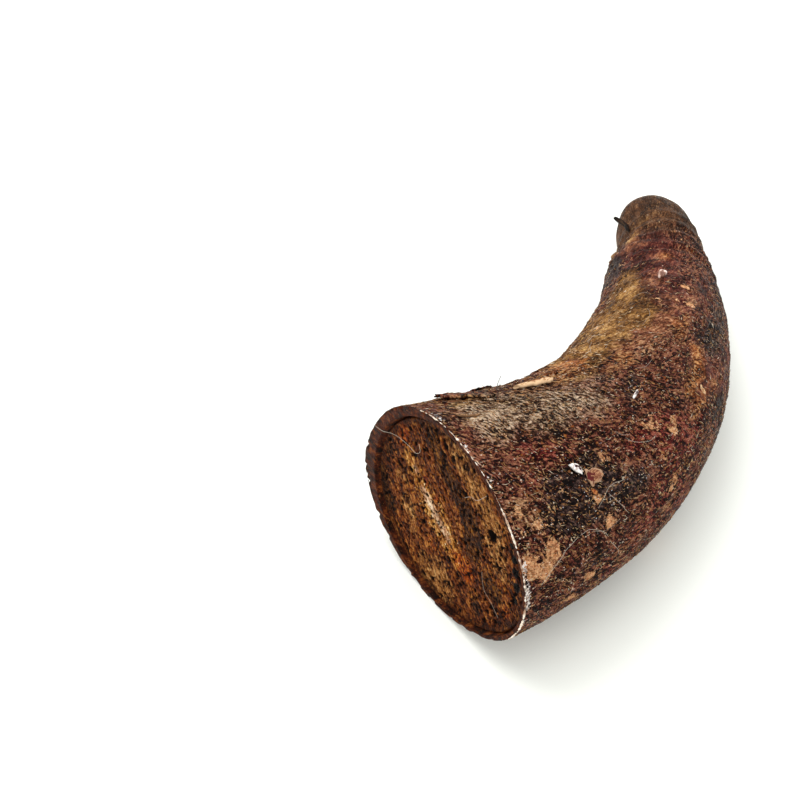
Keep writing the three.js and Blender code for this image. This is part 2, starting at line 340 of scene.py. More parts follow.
# Where the sheath's colours lie: degrees round, share along, reach along, reach round, and strength
TINTS = {
    "worn": (
        (158, 0.050, 0.012, 6, 1.2),
        (166, 0.032, 0.014, 6, 1.1),
        (158, 0.010, 0.010, 6, 0.8),
        (163, 0.014, 0.010, 5, 0.8),
        (143, 0.045, 0.014, 6, 0.55),
        (136, 0.024, 0.010, 5, 0.5),
        (142, 0.135, 0.006, 4, 0.8),
        (158, 0.143, 0.010, 4, 0.8),
        (166, 0.152, 0.006, 3, 0.7),
        (184, 0.105, 0.010, 4, 0.8),
        (193, 0.080, 0.010, 4, 0.6),
        (127, 0.172, 0.006, 4, 0.9),
        (163, 0.285, 0.003, 2, 0.8),
        (166, 0.270, 0.003, 2, 0.8),
        (169, 0.260, 0.006, 2, 0.8),
        (127, 0.262, 0.005, 3, 0.7),
        (130, 0.272, 0.005, 3, 0.65),
        (133, 0.284, 0.005, 3, 0.65),
        (137, 0.296, 0.005, 3, 0.65),
        (141, 0.303, 0.006, 3, 0.8),
        (136, 0.312, 0.006, 3, 0.8),
        (165, 0.272, 0.004, 9, 0.7),
        (150, 0.262, 0.004, 4, 0.6),
        (205, 0.180, 0.020, 7, 0.6),
        (230, 0.300, 0.030, 9, 0.7),
        (330, 0.200, 0.020, 10, 0.7),
        (345, 0.420, 0.030, 12, 0.5),
        (108, 0.620, 0.005, 5, 0.7),
        (103, 0.567, 0.004, 4, 0.6),
        (115, 0.572, 0.005, 5, 0.7),
        (122, 0.330, 0.004, 3, 0.6),
        (100, 0.200, 0.004, 3, 0.5),
    ),
    "chalk": (
        (160, 0.004, 0.006, 6, 0.7),
        (173, 0.004, 0.006, 5, 0.75),
        (181, 0.003, 0.006, 5, 0.7),
        (192, 0.003, 0.006, 6, 0.65),
        (130, 0.002, 0.004, 4, 0.5),
        (119, 0.004, 0.005, 4, 0.6),
        (100, 0.004, 0.004, 5, 0.6),
        (80, 0.006, 0.006, 6, 0.5),
    ),
    # Dust on the upper side, which is also painted light: it lightens the top of the horn
    "dust": (
        (92, 0.185, 0.050, 13, 0.85),
        (75, 0.145, 0.050, 8, 0.65),
        (73, 0.085, 0.035, 7, 0.6),
        (102, 0.235, 0.035, 10, 0.65),
        (88, 0.13, 0.050, 10, 1.1),
        (100, 0.145, 0.035, 9, 0.7),
        (84, 0.07, 0.045, 9, 0.95),
        (96, 0.06, 0.035, 9, 0.7),
        (20, 0.20, 0.200, 30, 0.5),
        (88, 0.28, 0.050, 10, 0.4),
    ),
    "ochre": (
        (71, 0.060, 0.030, 8, 0.7),
        # These three, on the upper edge, are painted light: they lighten it where the lamps leave it dim
        (78, 0.095, 0.035, 8, 0.8),
        (83, 0.120, 0.035, 6, 0.8),
        (86, 0.150, 0.030, 6, 0.5),
        (79, 0.250, 0.040, 8, 0.7),
        (80, 0.290, 0.030, 7, 0.5),
        (70, 0.340, 0.035, 10, 1.0),
        (50, 0.815, 0.030, 12, 0.7),
        (66, 0.542, 0.080, 20, 1.0),
        (58, 0.392, 0.070, 20, 0.9),
        (80, 0.500, 0.040, 12, 0.6),
        (62, 0.460, 0.060, 22, 0.9),
        (57, 0.650, 0.050, 16, 0.7),
        (25, 0.500, 0.150, 30, 0.5),
        (64, 0.300, 0.040, 14, 0.5),
        (74, 0.880, 0.040, 30, 0.4),
    ),
    "fox": (
        (127, 0.454, 0.030, 5, 0.8),
        (134, 0.407, 0.050, 5, 1.0),
        (146, 0.385, 0.050, 6, 0.8),
        (154, 0.460, 0.040, 9, 0.5),
        (110, 0.500, 0.050, 8, 0.6),
        (69, 0.165, 0.050, 9, 0.5),
        (76, 0.120, 0.040, 8, 0.3),
        (70, 0.260, 0.050, 12, 0.9),
        (64, 0.300, 0.050, 12, 0.6),
        (89, 0.350, 0.050, 10, 0.7),
        (92, 0.717, 0.025, 12, 0.5),
        (182, 0.080, 0.040, 6, 0.4),
    ),
    "rosy": (
        (134, 0.018, 0.025, 8, 0.7),
        (140, 0.035, 0.020, 7, 0.6),
        (159, 0.145, 0.020, 5, 0.7),
        (94, 0.430, 0.050, 12, 1.0),
        (100, 0.490, 0.050, 10, 0.5),
        (79, 0.630, 0.040, 12, 0.5),
        # These two, on the side of the tip, are pinkish skin lightened as painted highlight
        (57, 0.776, 0.035, 15, 1.2),
        (54, 0.850, 0.035, 16, 0.9),
        (80, 0.033, 0.030, 7, 0.6),
        (99, 0.028, 0.020, 7, 0.5),
        (186, 0.170, 0.080, 10, 0.5),
        (175, 0.254, 0.080, 10, 0.5),
        (118, 0.600, 0.050, 10, 0.5),
        (98, 0.560, 0.050, 12, 0.5),
    ),
    "wine": (
        (142, 0.307, 0.050, 9, 1.0),
        (130, 0.290, 0.030, 7, 0.7),
        (150, 0.340, 0.060, 7, 0.8),
        (131, 0.235, 0.035, 7, 0.8),
        (109, 0.072, 0.025, 7, 0.7),
        (118, 0.130, 0.035, 6, 0.5),
        (160, 0.280, 0.070, 8, 0.8),
        (175, 0.254, 0.080, 10, 0.5),
        (186, 0.175, 0.080, 9, 0.6),
        (112, 0.100, 0.025, 5, 0.5),
        (125, 0.052, 0.025, 6, 0.5),
        (190, 0.300, 0.200, 25, 0.4),
        (118, 0.400, 0.040, 6, 0.4),
        (105, 0.530, 0.040, 6, 0.5),
    ),
    "soot": (
        (131, 0.112, 0.040, 9, 1.0),
        (144, 0.085, 0.045, 9, 1.0),
        (140, 0.160, 0.040, 9, 0.8),
        (150, 0.200, 0.050, 8, 0.7),
        (150, 0.120, 0.050, 7, 0.7),
        (125, 0.165, 0.030, 6, 0.5),
        (107, 0.300, 0.030, 7, 0.8),
        (100, 0.330, 0.025, 6, 0.5),
        (138, 0.534, 0.050, 8, 1.0),
        (126, 0.500, 0.040, 6, 0.5),
        (122, 0.570, 0.040, 6, 0.4),
        (150, 0.600, 0.070, 11, 0.7),
        (126, 0.640, 0.040, 8, 0.6),
        (30, 0.720, 0.040, 16, 1.4),
        (138, 0.500, 0.040, 6, 0.5),
        (175, 0.100, 0.050, 7, 0.5),
        (175, 0.720, 0.100, 24, 0.5),
        (260, 0.300, 0.300, 40, 0.4),
        (165, 0.430, 0.060, 8, 0.7),
    ),
    # Painted shade in the creases of the waist
    "crease_shade": (
        (28, 0.760, 0.012, 16, 1.0),
        (51, 0.716, 0.005, 9, 1.0),
        (68, 0.699, 0.004, 10, 1.0),
        (82, 0.702, 0.004, 8, 1.0),
        (94, 0.674, 0.004, 7, 0.9),
        (75, 0.745, 0.003, 10, 0.7),
        (62, 0.775, 0.003, 14, 0.6),
        (88, 0.815, 0.003, 16, 0.6),
        (54, 0.660, 0.003, 8, 0.6),
    ),
    "calm": (
        (66, 0.560, 0.150, 24, 1.0),
        (95, 0.480, 0.080, 13, 0.9),
        (105, 0.570, 0.070, 12, 0.8),
        (58, 0.380, 0.100, 20, 0.9),
        (75, 0.350, 0.060, 12, 0.35),
        (140, 0.420, 0.070, 9, 0.9),
        (125, 0.460, 0.040, 6, 0.7),
        (85, 0.700, 0.090, 28, 0.9),
        (130, 0.620, 0.090, 14, 0.8),
        (160, 0.500, 0.110, 14, 0.9),
        (60, 0.780, 0.080, 40, 0.9),
        (20, 0.500, 0.300, 40, 0.6),
    ),
}


def note_tints(piece, angle, along):
    for name, spots in TINTS.items():
        note(piece, name, np.clip(blobs(angle, along, spots), 0, 1))


def sheath_profile():
    profile = [(0, HOLLOW_DEPTH)]
    for i in range(1, HOLLOW_STEPS):
        along = HOLLOW_DEPTH * math.cos(i / HOLLOW_STEPS * math.pi / 2) ** HOLLOW_SPACING
        profile.append((float(hollow_radius(along)), along))
    for i in range(RIM_STEPS):
        profile.append((CUT_HALF_WIDTH - WALL * (1 - i / RIM_STEPS), 0))
    cone_end = HORN_LENGTH - TIP_ROUNDING
    for i in range(SHEATH_STEPS + 1):
        along = cone_end * i / SHEATH_STEPS
        profile.append((float(outer_radius(along)), along))
    for i in range(1, CAP_STEPS):
        along = cone_end + TIP_ROUNDING * math.sin(i / CAP_STEPS * math.pi / 2)
        profile.append((float(outer_radius(along)), along))
    profile.append((0, HORN_LENGTH))
    return profile


RIM_GRAIN = 0.00012  # height of the saw's marks on the rim
RIM_GRAIN_SIZE = 0.0006
RIM_GRAIN_STRETCH = 0.3  # draws the marks out across the wall
RIM_CHIPS = 0.0012  # depth of the chips out of its outer edge
RIM_CHIP_LAYERS = ((0.7, 0.003, 5), (0.6, 0.0012, 6))
RIM_CHIPS_FROM = 0.55  # share of the wall, from its inside, from which it is chipped
SAWN_SHARE = 0.97  # of the wall, from its inside, that is the sawn rim


def make_sheath():
    piece = spun("weathered_sheath", sheath_profile(), SHEATH_SIDES)
    points = points_of(piece)
    along = points[:, 1]
    radius = np.hypot(points[:, 0], points[:, 2])
    angle = np.arctan2(points[:, 2], points[:, 0])
    inner = hollow_radius(along)
    wall = np.maximum(outer_radius(along) - inner, 1e-6)
    outness = np.clip((radius - inner) / wall, 0, 1)
    grown = radius + outness * relief(angle, along)

    on_rim = (along < 1e-6) & (outness > 0)
    edge = straight_points(CUT_HALF_WIDTH, angle, 0 * along)
    chips = RIM_CHIPS * np.maximum(0, layered(edge, RIM_CHIP_LAYERS))
    grain = RIM_GRAIN * patchy(straight_points(radius * RIM_GRAIN_STRETCH, angle, along), RIM_GRAIN_SIZE, 9)
    sunk = np.where(on_rim, grain + chips * smooth_step(outness, RIM_CHIPS_FROM, 1), 0)

    x, up = inner_shift(*section_point(grown, angle, along / HORN_LENGTH), along, 1 - outness)
    move_points(piece, curl_flat(x, up, along + sunk))
    smooth(piece)

    note_place(piece, radius, angle, along)
    note_tints(piece, angle, along)
    return piece, outness


def sawn_faces(piece, outness):
    """Sets the second material on the rim and the hollow."""
    for face in piece.data.polygons:
        if min(outness[i] for i in face.vertices) < SAWN_SHARE:
            face.material_index = 1


# The large pores of the sawn face: x and y of the section, radius and depth
BIG_PORES = (
    (-0.0168, 0.0098, 0.0017, 0.0016),
    (0.021, 0.002, 0.0009, 0.0009),
    (0.016, 0.004, 0.0010, 0.0010),
    (-0.004, -0.018, 0.0009, 0.0010),
    (-0.020, 0.003, 0.0008, 0.0010),
    (0.004, 0.021, 0.0011, 0.0009),
)

# Where the bone's colours lie: x and y of the section, reach and strength
FACE_TINTS = {
    "gold": (
        (0.0174, 0.0086, 0.0032, 0.8),
        (0.0138, 0.0056, 0.0036, 0.9),
        (0.0102, 0.0018, 0.0038, 1.0),
        (0.0064, -0.0002, 0.0038, 1.0),
        (0.0026, -0.0024, 0.0040, 1.0),
        (-0.0008, -0.0042, 0.0040, 1.0),
        (-0.0034, -0.0064, 0.0038, 0.9),
        (-0.0070, -0.0088, 0.0034, 0.6),
    ),
    # A pale streak along the golden one, partly painted highlight: its whitish glints
    "pale": (
        (0.0138, 0.0056, 0.0016, 0.7),
        (0.0102, 0.0018, 0.0018, 0.75),
        (0.0082, 0.0008, 0.0018, 0.75),
        (0.0064, -0.0002, 0.0018, 0.8),
        (0.0044, -0.0014, 0.0018, 0.75),
        (0.0026, -0.0026, 0.0018, 0.75),
        (0.0004, -0.0036, 0.0018, 0.7),
        (-0.0018, -0.0052, 0.0016, 0.6),
    ),
    "ember": (
        (0.0202, 0.0138, 0.0030, 0.8),
        (0.0206, 0.0098, 0.0022, 0.7),
        (-0.0100, -0.0082, 0.0036, 0.9),
        (-0.0064, -0.0074, 0.0030, 0.8),
        (0.0048, -0.0116, 0.0026, 0.6),
        (-0.0258, -0.0076, 0.0018, 0.9),
        (0.0100, 0.0054, 0.0018, 0.7),
        (0.0046, 0.0030, 0.0018, 0.7),
    ),
    "tan": (
        (0.0032, 0.0238, 0.0030, 0.6),
        (-0.0008, 0.0220, 0.0034, 0.8),
        (-0.0046, 0.0206, 0.0036, 1.0),
        (-0.0078, 0.0182, 0.0036, 1.0),
        (-0.0120, 0.0160, 0.0038, 1.0),
        (-0.0152, 0.0130, 0.0036, 0.9),
        (-0.0180, 0.0096, 0.0036, 1.0),
        (-0.0196, 0.0058, 0.0036, 0.9),
        (-0.0220, 0.0016, 0.0030, 0.7),
        (0.0208, -0.0002, 0.0030, 0.6),
        (0.0156, -0.0074, 0.0036, 0.8),
        (0.0124, -0.0136, 0.0036, 0.7),
        (0.0066, -0.0202, 0.0040, 0.8),
        (0.0024, -0.0214, 0.0040, 0.9),
        (-0.0036, -0.0204, 0.0040, 0.9),
        (0.0000, -0.0150, 0.0036, 0.7),
    ),
    "dark": (
        (0.0092, 0.0202, 0.0034, 0.9),
        (0.0060, 0.0165, 0.0030, 0.8),
        (0.0032, 0.0142, 0.0034, 0.9),
        (-0.0008, 0.0124, 0.0034, 0.9),
        (-0.0048, 0.0106, 0.0034, 0.9),
        (-0.0084, 0.0070, 0.0036, 1.0),
        (-0.0118, 0.0042, 0.0036, 1.0),
        (-0.0102, 0.0000, 0.0034, 0.9),
        (-0.0174, -0.0042, 0.0036, 0.8),
        (-0.0216, -0.0054, 0.0034, 0.7),
        (-0.0150, -0.0150, 0.0036, 0.6),
        # These four, by the edge towards the inside of the curl, are the rim's shadow on the sunk bone,
        # painted
        (0.0280, -0.0062, 0.0034, 0.9),
        (0.0256, -0.0110, 0.0034, 1.0),
        (0.0228, -0.0136, 0.0034, 0.9),
        (0.0250, 0.0030, 0.0026, 0.6),
    ),
    # Painted shade of the gap between the bone and the rim, where it is widest
    "gap_shade_by_rim": (
        (-0.0240, 0.0128, 0.0010, 0.9),
        (-0.0256, 0.0098, 0.0012, 1.1),
        (-0.0268, 0.0066, 0.0013, 1.2),
        (-0.0280, 0.0028, 0.0013, 1.2),
        (-0.0282, -0.0012, 0.0012, 1.0),
    ),
}

# The small pores: their size and depth, which of them are open by their random number, and where between
# its middle and the next one a pore's wall stands
PORE_CELL = 0.0019
PORE_DEPTH = 0.0008
PORE_CHANCE = 3.1
PORE_OPEN = (0.02, 0.2)
PORE_WALL = (0.22, 0.42)
BIG_PORE_WALL = (0.5, 1.1)
BIG_PORE_TEAR = 0.3

# The fine pits between them, and the low unevenness of the whole face
FINE_CELL = 0.0008
FINE_DEPTH = 0.00035
FINE_WALL = (0.1, 0.4)
UNEVEN_SIZE = 0.004
UNEVENNESS = 0.00012

# Distances from the face's edge over which its pits end, and over which it darkens
FACE_CALM = (0.0015, 0.0002)
FACE_DARK = (0.0035, 0.0003)

# The edge's bevel, and the shares of the core's side at which it has rings
CORE_BEVEL = 0.0004
CORE_RINGS = (0, 0.004, 0.01, 0.02, 0.04, 0.08, 0.15, 0.25, 0.4, 0.55, 0.7, 0.82, 0.91, 0.97, 0.995, 1)


def face_radius():
    return float(hollow_radius(CORE_SUNK)) - CORE_GAP


def core_profile():
    profile = [(0, CORE_SUNK)]
    for i in range(1, FACE_STEPS + 1):
        profile.append(((face_radius() - CORE_BEVEL) * i / FACE_STEPS, CORE_SUNK))
    side = CORE_END - CORE_SUNK - CORE_BEVEL
    for share in CORE_RINGS:
        along = CORE_SUNK + CORE_BEVEL + side * share
        profile.append((float(hollow_radius(along)) - CORE_GAP, along))
    profile.append((0, CORE_END))
    return profile


def face_pits(points):
    """Depth of the pores at points on the sawn bone."""
    cells = []
    for row in (points / PORE_CELL).tolist():
        distances, centres = noise.voronoi(row)
        cells.append((distances[0], noise.noise(centres[0] * PORE_CHANCE)))
    apart, chance = np.array(cells).T
    depth = PORE_DEPTH * smooth_step(chance, *PORE_OPEN) * (1 - smooth_step(apart, *PORE_WALL))
    fine = patchy(points, FINE_CELL, 3)
    depth += FINE_DEPTH * smooth_step(fine, *FINE_WALL)
    depth += UNEVENNESS * patchy(points, UNEVEN_SIZE, 8) + UNEVENNESS
    for x, y, radius, deep in BIG_PORES:
        apart = np.hypot(points[:, 0] - x, points[:, 1] - y) / radius
        ragged = apart + BIG_PORE_TEAR * fine
        depth = np.maximum(depth, deep * (1 - smooth_step(ragged, *BIG_PORE_WALL)))
    return depth


def make_core():
    piece = spun("sawn_bone_core", core_profile(), CORE_SIDES)
    points = points_of(piece)
    along = points[:, 1]
    radius = np.hypot(points[:, 0], points[:, 2])
    angle = np.arctan2(points[:, 2], points[:, 0])
    x, up = inner_shift(*section_point(radius, angle, along / HORN_LENGTH), along, 1)
    flat = np.stack([x, up, along], -1)
    edge = face_radius()
    on_face = along < CORE_SUNK + 1e-6
    calm = smooth_step(radius, *(edge - apart for apart in FACE_CALM))
    pits = np.where(on_face, face_pits(flat), 0) * (1 - calm)
    move_points(piece, curl_flat(x, up, along + pits))
    smooth(piece)
    note(piece, "flat", flat)
    # How deep the pores are, for their painted shade
    note(piece, "pit_shade", np.clip(pits / PORE_DEPTH, 0, 1))
    note(piece, "edge", smooth_step(radius, *(edge - apart for apart in FACE_DARK)))
    for name, spots in FACE_TINTS.items():
        total = np.zeros_like(x)
        for spot_x, spot_y, reach, strength in spots:
            total += strength * np.exp(-((x - spot_x) ** 2 + (up - spot_y) ** 2) / reach**2)
        note(piece, name, np.clip(total, 0, 1))
    return piece


def through(points, count):
    """Evenly spread points on a smooth line through the given ones."""
    given = np.array(points)
    at = np.linspace(0, len(given) - 1, count)
    i = np.clip(at.astype(int), 0, len(given) - 2)
    t = (at - i)[:, None]
    before = given[np.maximum(i - 1, 0)]
    after = given[np.minimum(i + 2, len(given) - 1)]
    from_point, to_point = given[i], given[i + 1]
    start_way = (to_point - before) / 2
    end_way = (after - from_point) / 2
    return (
        (2 * t**3 - 3 * t**2 + 1) * from_point + (t**3 - 2 * t**2 + t) * start_way
        + (3 * t**2 - 2 * t**3) * to_point + (t**3 - t**2) * end_way
    )


def strand_template(rings, sides):
    """A straight strand: for each point its ring and its two places across, and the faces."""
    bm = bmesh.new()
    bmesh.ops.create_cone(bm, cap_ends=True, segments=sides, radius1=1, radius2=1, depth=1)
    upright = [e for e in bm.edges if abs(e.verts[0].co.z - e.verts[1].co.z) > 0.5]
    bmesh.ops.subdivide_edges(bm, edges=upright, cuts=rings - 2)
    mesh = bpy.data.meshes.new("strand")
    bm.to_mesh(mesh)
    bm.free()
    flat = np.empty(len(mesh.vertices) * 3)
    mesh.vertices.foreach_get("co", flat)
    points = flat.reshape(-1, 3)
    faces = [tuple(face.vertices) for face in mesh.polygons]
    bpy.data.meshes.remove(mesh)
    ring = np.rint((points[:, 2] + 0.5) * (rings - 1)).astype(int)
    return ring, points[:, 0], points[:, 1], faces


def repeated(name, points, faces, count):
    """One mesh of many copies of a template's faces, whose points are given for every copy."""
    each = points.shape[1]
    mesh = bpy.data.meshes.new(name)
    sizes = np.array([len(face) for face in faces])
    corners = np.concatenate([np.array(face) for face in faces])
    all_corners = (corners[None, :] + np.arange(count)[:, None] * each).ravel()
    mesh.vertices.add(count * each)
    mesh.vertices.foreach_set("co", points.astype(np.float32).ravel())
    mesh.loops.add(len(all_corners))
    mesh.loops.foreach_set("vertex_index", all_corners.astype(np.int32))
    mesh.polygons.add(count * len(faces))
    starts = np.concatenate([[0], np.cumsum(np.tile(sizes, count))[:-1]])
    mesh.polygons.foreach_set("loop_start", starts.astype(np.int32))
    mesh.update(calc_edges=True)
    mesh.validate()
    bm = bmesh.new()
    bm.from_mesh(mesh)
    bmesh.ops.recalc_face_normals(bm, faces=bm.faces)
    bm.to_mesh(mesh)
    bm.free()
    piece = bpy.data.objects.new(name, mesh)
    bpy.context.scene.collection.objects.link(piece)
    return piece


STRAND_RANGE = (0.0001, HORN_LENGTH - 0.0005)  # along the horn, that strands keep to
STRAND_OFF = 0.4  # how far a strand's middle stands off the skin, as a share of its thickness
STRAND_END = 0.05  # how thick its ends are, as the square of a share
LEAST_RADIUS = 0.004  # below which the sheath's roundness no longer turns a strand


def lay_strands(name, angle, along, lift, thick, chance, sides, pointed):
    """Fibres or hairs on the sheath: rows of places that each passes, and one thickness for each."""
    count, rings = angle.shape
    ring, side, rise, faces = strand_template(rings, sides)
    local = np.maximum(outer_radius(np.clip(along, 0, HORN_LENGTH)), LEAST_RADIUS)
    go_round = np.gradient(angle * local, axis=1)
    go_along = np.gradient(along, axis=1)
    length = np.hypot(go_round, go_along) + 1e-9
    t = np.linspace(-1, 1, rings)
    width = thick[:, None] * np.sqrt(np.maximum(STRAND_END, 1 - np.abs(t) ** pointed))
    sideways = side * width[:, ring]
    place_angle = angle[:, ring] + sideways * (go_along / length / local)[:, ring]
    place_along = along[:, ring] - sideways * (go_round / length)[:, ring]
    place_along = np.clip(place_along, *STRAND_RANGE)
    height = lift[:, ring] + rise * width[:, ring] + STRAND_OFF * thick[:, None]
    points = on_sheath(place_angle.ravel(), place_along.ravel(), height.ravel())
    piece = repeated(name, points.reshape(count, -1, 3), faces, count)
    note(piece, "chance", np.repeat(chance, len(ring)))
    return piece


# The short broken fibres. A length and a thickness are a least one and how much there may be on top
FIBRE_COUNT = 12000
FIBRE_TRIES = 60000  # places drawn, from which the fibres are picked
FIBRE_RINGS = 3
FIBRE_FADE = (0.45, 0.8)  # shares of the length over which they grow fewer
FIBRE_LOWEST = -0.75  # sine of the lowest place round at which they are
FIBRE_LENGTH = (0.0006, 0.0020)
FIBRE_THICKNESS = (0.00005, 0.00007)
FIBRE_LIFT = 0.00035
FIBRE_HEADINGS = (0.35, 1.05)  # the two ways in which they lie, in radians from the horn's length
FIBRE_STRAY = 0.5


def make_fibres():
    """The short broken fibres that stand off the sheath, thickest on its rough upper side."""
    pick = np.random.default_rng(4)
    angle = pick.uniform(-math.pi, math.pi, FIBRE_TRIES)
    along = HORN_LENGTH * pick.beta(1.0, 1.35, FIBRE_TRIES)
    crowd = rough_part(angle, along) * outer_radius(along) / CUT_HALF_WIDTH
    crowd *= 1 - smooth_step(along / HORN_LENGTH, *FIBRE_FADE)
    keep = pick.uniform(0, 1, FIBRE_TRIES) < crowd
    keep &= np.sin(angle) > FIBRE_LOWEST
    angle, along = angle[keep][:FIBRE_COUNT], along[keep][:FIBRE_COUNT]
    count = len(angle)
    length = FIBRE_LENGTH[0] + FIBRE_LENGTH[1] * pick.beta(1.2, 3.4, count)
    thick = FIBRE_THICKNESS[0] + FIBRE_THICKNESS[1] * pick.beta(1.5, 2.5, count)
    heading = np.where(pick.uniform(0, 1, count) < 0.5, *FIBRE_HEADINGS)
    heading = heading + pick.normal(0, FIBRE_STRAY, count)
    bend = pick.normal(0, FIBRE_STRAY, count)
    t = np.linspace(-0.5, 0.5, FIBRE_RINGS)[None, :]
    course = heading[:, None] + bend[:, None] * t
    path_along = along[:, None] + t * length[:, None] * np.cos(course)
    path_angle = angle[:, None] + t * length[:, None] * np.sin(course) / outer_radius(along)[:, None]
    lift = (FIBRE_LIFT * pick.beta(1, 3, count))[:, None] * (2 * t) ** 2
    chance = pick.uniform(0, 1, count)
    paths = (path_angle, path_along, lift)
    return lay_strands("loose_fibres", *paths, thick, chance, sides=3, pointed=2)


# Hairs stuck to the sheath: the places each passes, in degrees round and share along
HAIRS = (
    ((157, 0.090), (161, 0.065), (167, 0.042), (173, 0.023)),
    ((157, 0.092), (156, 0.103), (157, 0.112), (161, 0.127), (166, 0.135)),
    ((142, 0.192), (143, 0.180), (142, 0.167), (143, 0.152), (146, 0.140), (149, 0.130)),
    ((145, 0.152), (152, 0.162), (161, 0.175)),
    ((126, 0.225), (131, 0.233), (135, 0.252), (135, 0.270)),
    ((168, 0.135), (176, 0.147), (182, 0.152)),
    ((60, 0.392), (61, 0.410), (64, 0.418), (67, 0.419)),
    ((62, 0.398), (66, 0.372), (72, 0.345)),
    ((110, 0.290), (111, 0.296), (110, 0.304)),
    ((120, 0.215), (124, 0.222), (126, 0.235)),
    ((100, 0.345), (104, 0.360), (104, 0.385)),
    ((86, 0.470), (88, 0.500), (84, 0.525)),
    ((70, 0.560), (76, 0.575), (84, 0.570)),
    ((160, 0.159), (161, 0.133), (158, 0.110)),
    ((186, 0.200), (192, 0.230), (190, 0.270)),
    ((240, 0.200), (250, 0.240), (246, 0.290)),
    ((330, 0.300), (338, 0.340), (334, 0.380)),
    ((20, 0.250), (28, 0.280), (24, 0.320)),
    ((300, 0.120), (310, 0.150), (322, 0.160)),
    ((60, 0.055), (66, 0.052), (70, 0.060)),
)
HAIR_RINGS = 26
HAIR_SIDES = 4
HAIR_THICKNESS = 0.000042
HAIR_LIFT = 0.0005

# Hairs that stand free of the horn, how high their ends are and how thick they are
STANDING_HAIRS = (
    ((63, 0.146), (62, 0.155), (61, 0.168)),
    ((62, 0.134), (60, 0.131), (59, 0.127)),
)
STANDING_HAIR_HEIGHT = 0.0036
STANDING_HAIR_THICKNESS = 0.00009


def make_hairs():
    angle, along = [], []
    for hair in HAIRS + STANDING_HAIRS:
        path = through(hair, HAIR_RINGS)
        angle.append(np.radians(path[:, 0]))
        along.append(path[:, 1] * HORN_LENGTH)
    count = len(HAIRS) + len(STANDING_HAIRS)
    step = np.linspace(0, 1, HAIR_RINGS)
    lifts = [HAIR_LIFT * np.sin(math.pi * step)] * len(HAIRS)
    lifts += [STANDING_HAIR_HEIGHT * step] * len(STANDING_HAIRS)
    thick = np.array([HAIR_THICKNESS] * len(HAIRS) + [STANDING_HAIR_THICKNESS] * len(STANDING_HAIRS))
    paths = (np.array(angle), np.array(along), np.array(lifts))
    return lay_strands("stuck_hairs", *paths, thick, np.linspace(0, 1, count), HAIR_SIDES, pointed=8)


# Hairs on the sawn end: the section points that each passes
FACE_HAIRS = (
    (
        (0.0308, 0.0070), (0.0270, 0.0080), (0.0220, 0.0100), (0.0175, 0.0108),
        (0.0142, 0.0108), (0.0128, 0.0125), (0.0138, 0.0140),
    ),
    ((-0.0056, 0.0126), (-0.0080, 0.0150), (-0.0105, 0.0160), (-0.0132, 0.0196)),
    ((-0.0156, -0.0032), (-0.0175, -0.0070), (-0.0205, -0.0085), (-0.0238, -0.0112)),
    ((0.0332, -0.0026), (0.0320, -0.0030), (0.0308, -0.0040)),
)
FACE_HAIR_RINGS = 30
FACE_HAIR_LIFT = 0.0003
FACE_HAIR_CLIMB = (0.026, 0.0285)  # from the middle, between which a hair climbs from the bone to the rim


def make_face_hairs():
    ring, side, rise, faces = strand_template(FACE_HAIR_RINGS, HAIR_SIDES)
    rows = []
    for hair in FACE_HAIRS:
        path = through(hair, FACE_HAIR_RINGS)
        way = np.gradient(path, axis=0)
        way /= np.linalg.norm(way, axis=1)[:, None]
        over_rim = smooth_step(np.hypot(path[:, 0], path[:, 1]), *FACE_HAIR_CLIMB)
        height = HAIR_THICKNESS + FACE_HAIR_LIFT * np.sin(np.linspace(0, math.pi, FACE_HAIR_RINGS))
        depth = CORE_SUNK * (1 - over_rim) - height
        x = path[ring, 0] - side * HAIR_THICKNESS * way[ring, 1]
        y = path[ring, 1] + side * HAIR_THICKNESS * way[ring, 0]
        rows.append(curl_flat(x, y, depth[ring] + rise * HAIR_THICKNESS))
    piece = repeated("hairs_on_the_cut", np.array(rows), faces, len(FACE_HAIRS))
    note(piece, "chance", np.repeat(np.linspace(0, 1, len(FACE_HAIRS)), len(ring)))
    return piece


# The pale burr that the saw left along the rim's outer edge, from and to some degrees round
BURR_FROM = 66
BURR_TO = 216
BURR_STEPS = 900
BURR_SIDES = 7
BURR_RADIUS = 0.00011
BURR_SIZE = 0.45  # as a share of that radius, before its unevenness
BURR_LAYERS = ((1.5, 0.0035, 2), (1.7, 0.0009, 4))
BURR_RANGE = (0.12, 2.4)  # least and greatest size
BURR_FADE = 6  # degrees over which its ends grow thin
BURR_AHEAD = 1.3  # how much wider it is along the horn than out from it
BURR_SUNK = 0.00005  # how deep it sits in the rim's edge

# Where it is thicker: degrees round, reach in degrees and how much
BURR_PATCHES = (
    (78, 6, 0.5), (96, 5, 0.9), (121, 5, 0.4), (143, 8, 1.0),
    (168, 7, 0.7), (193, 8, 1.2), (207, 4, 0.6),
)


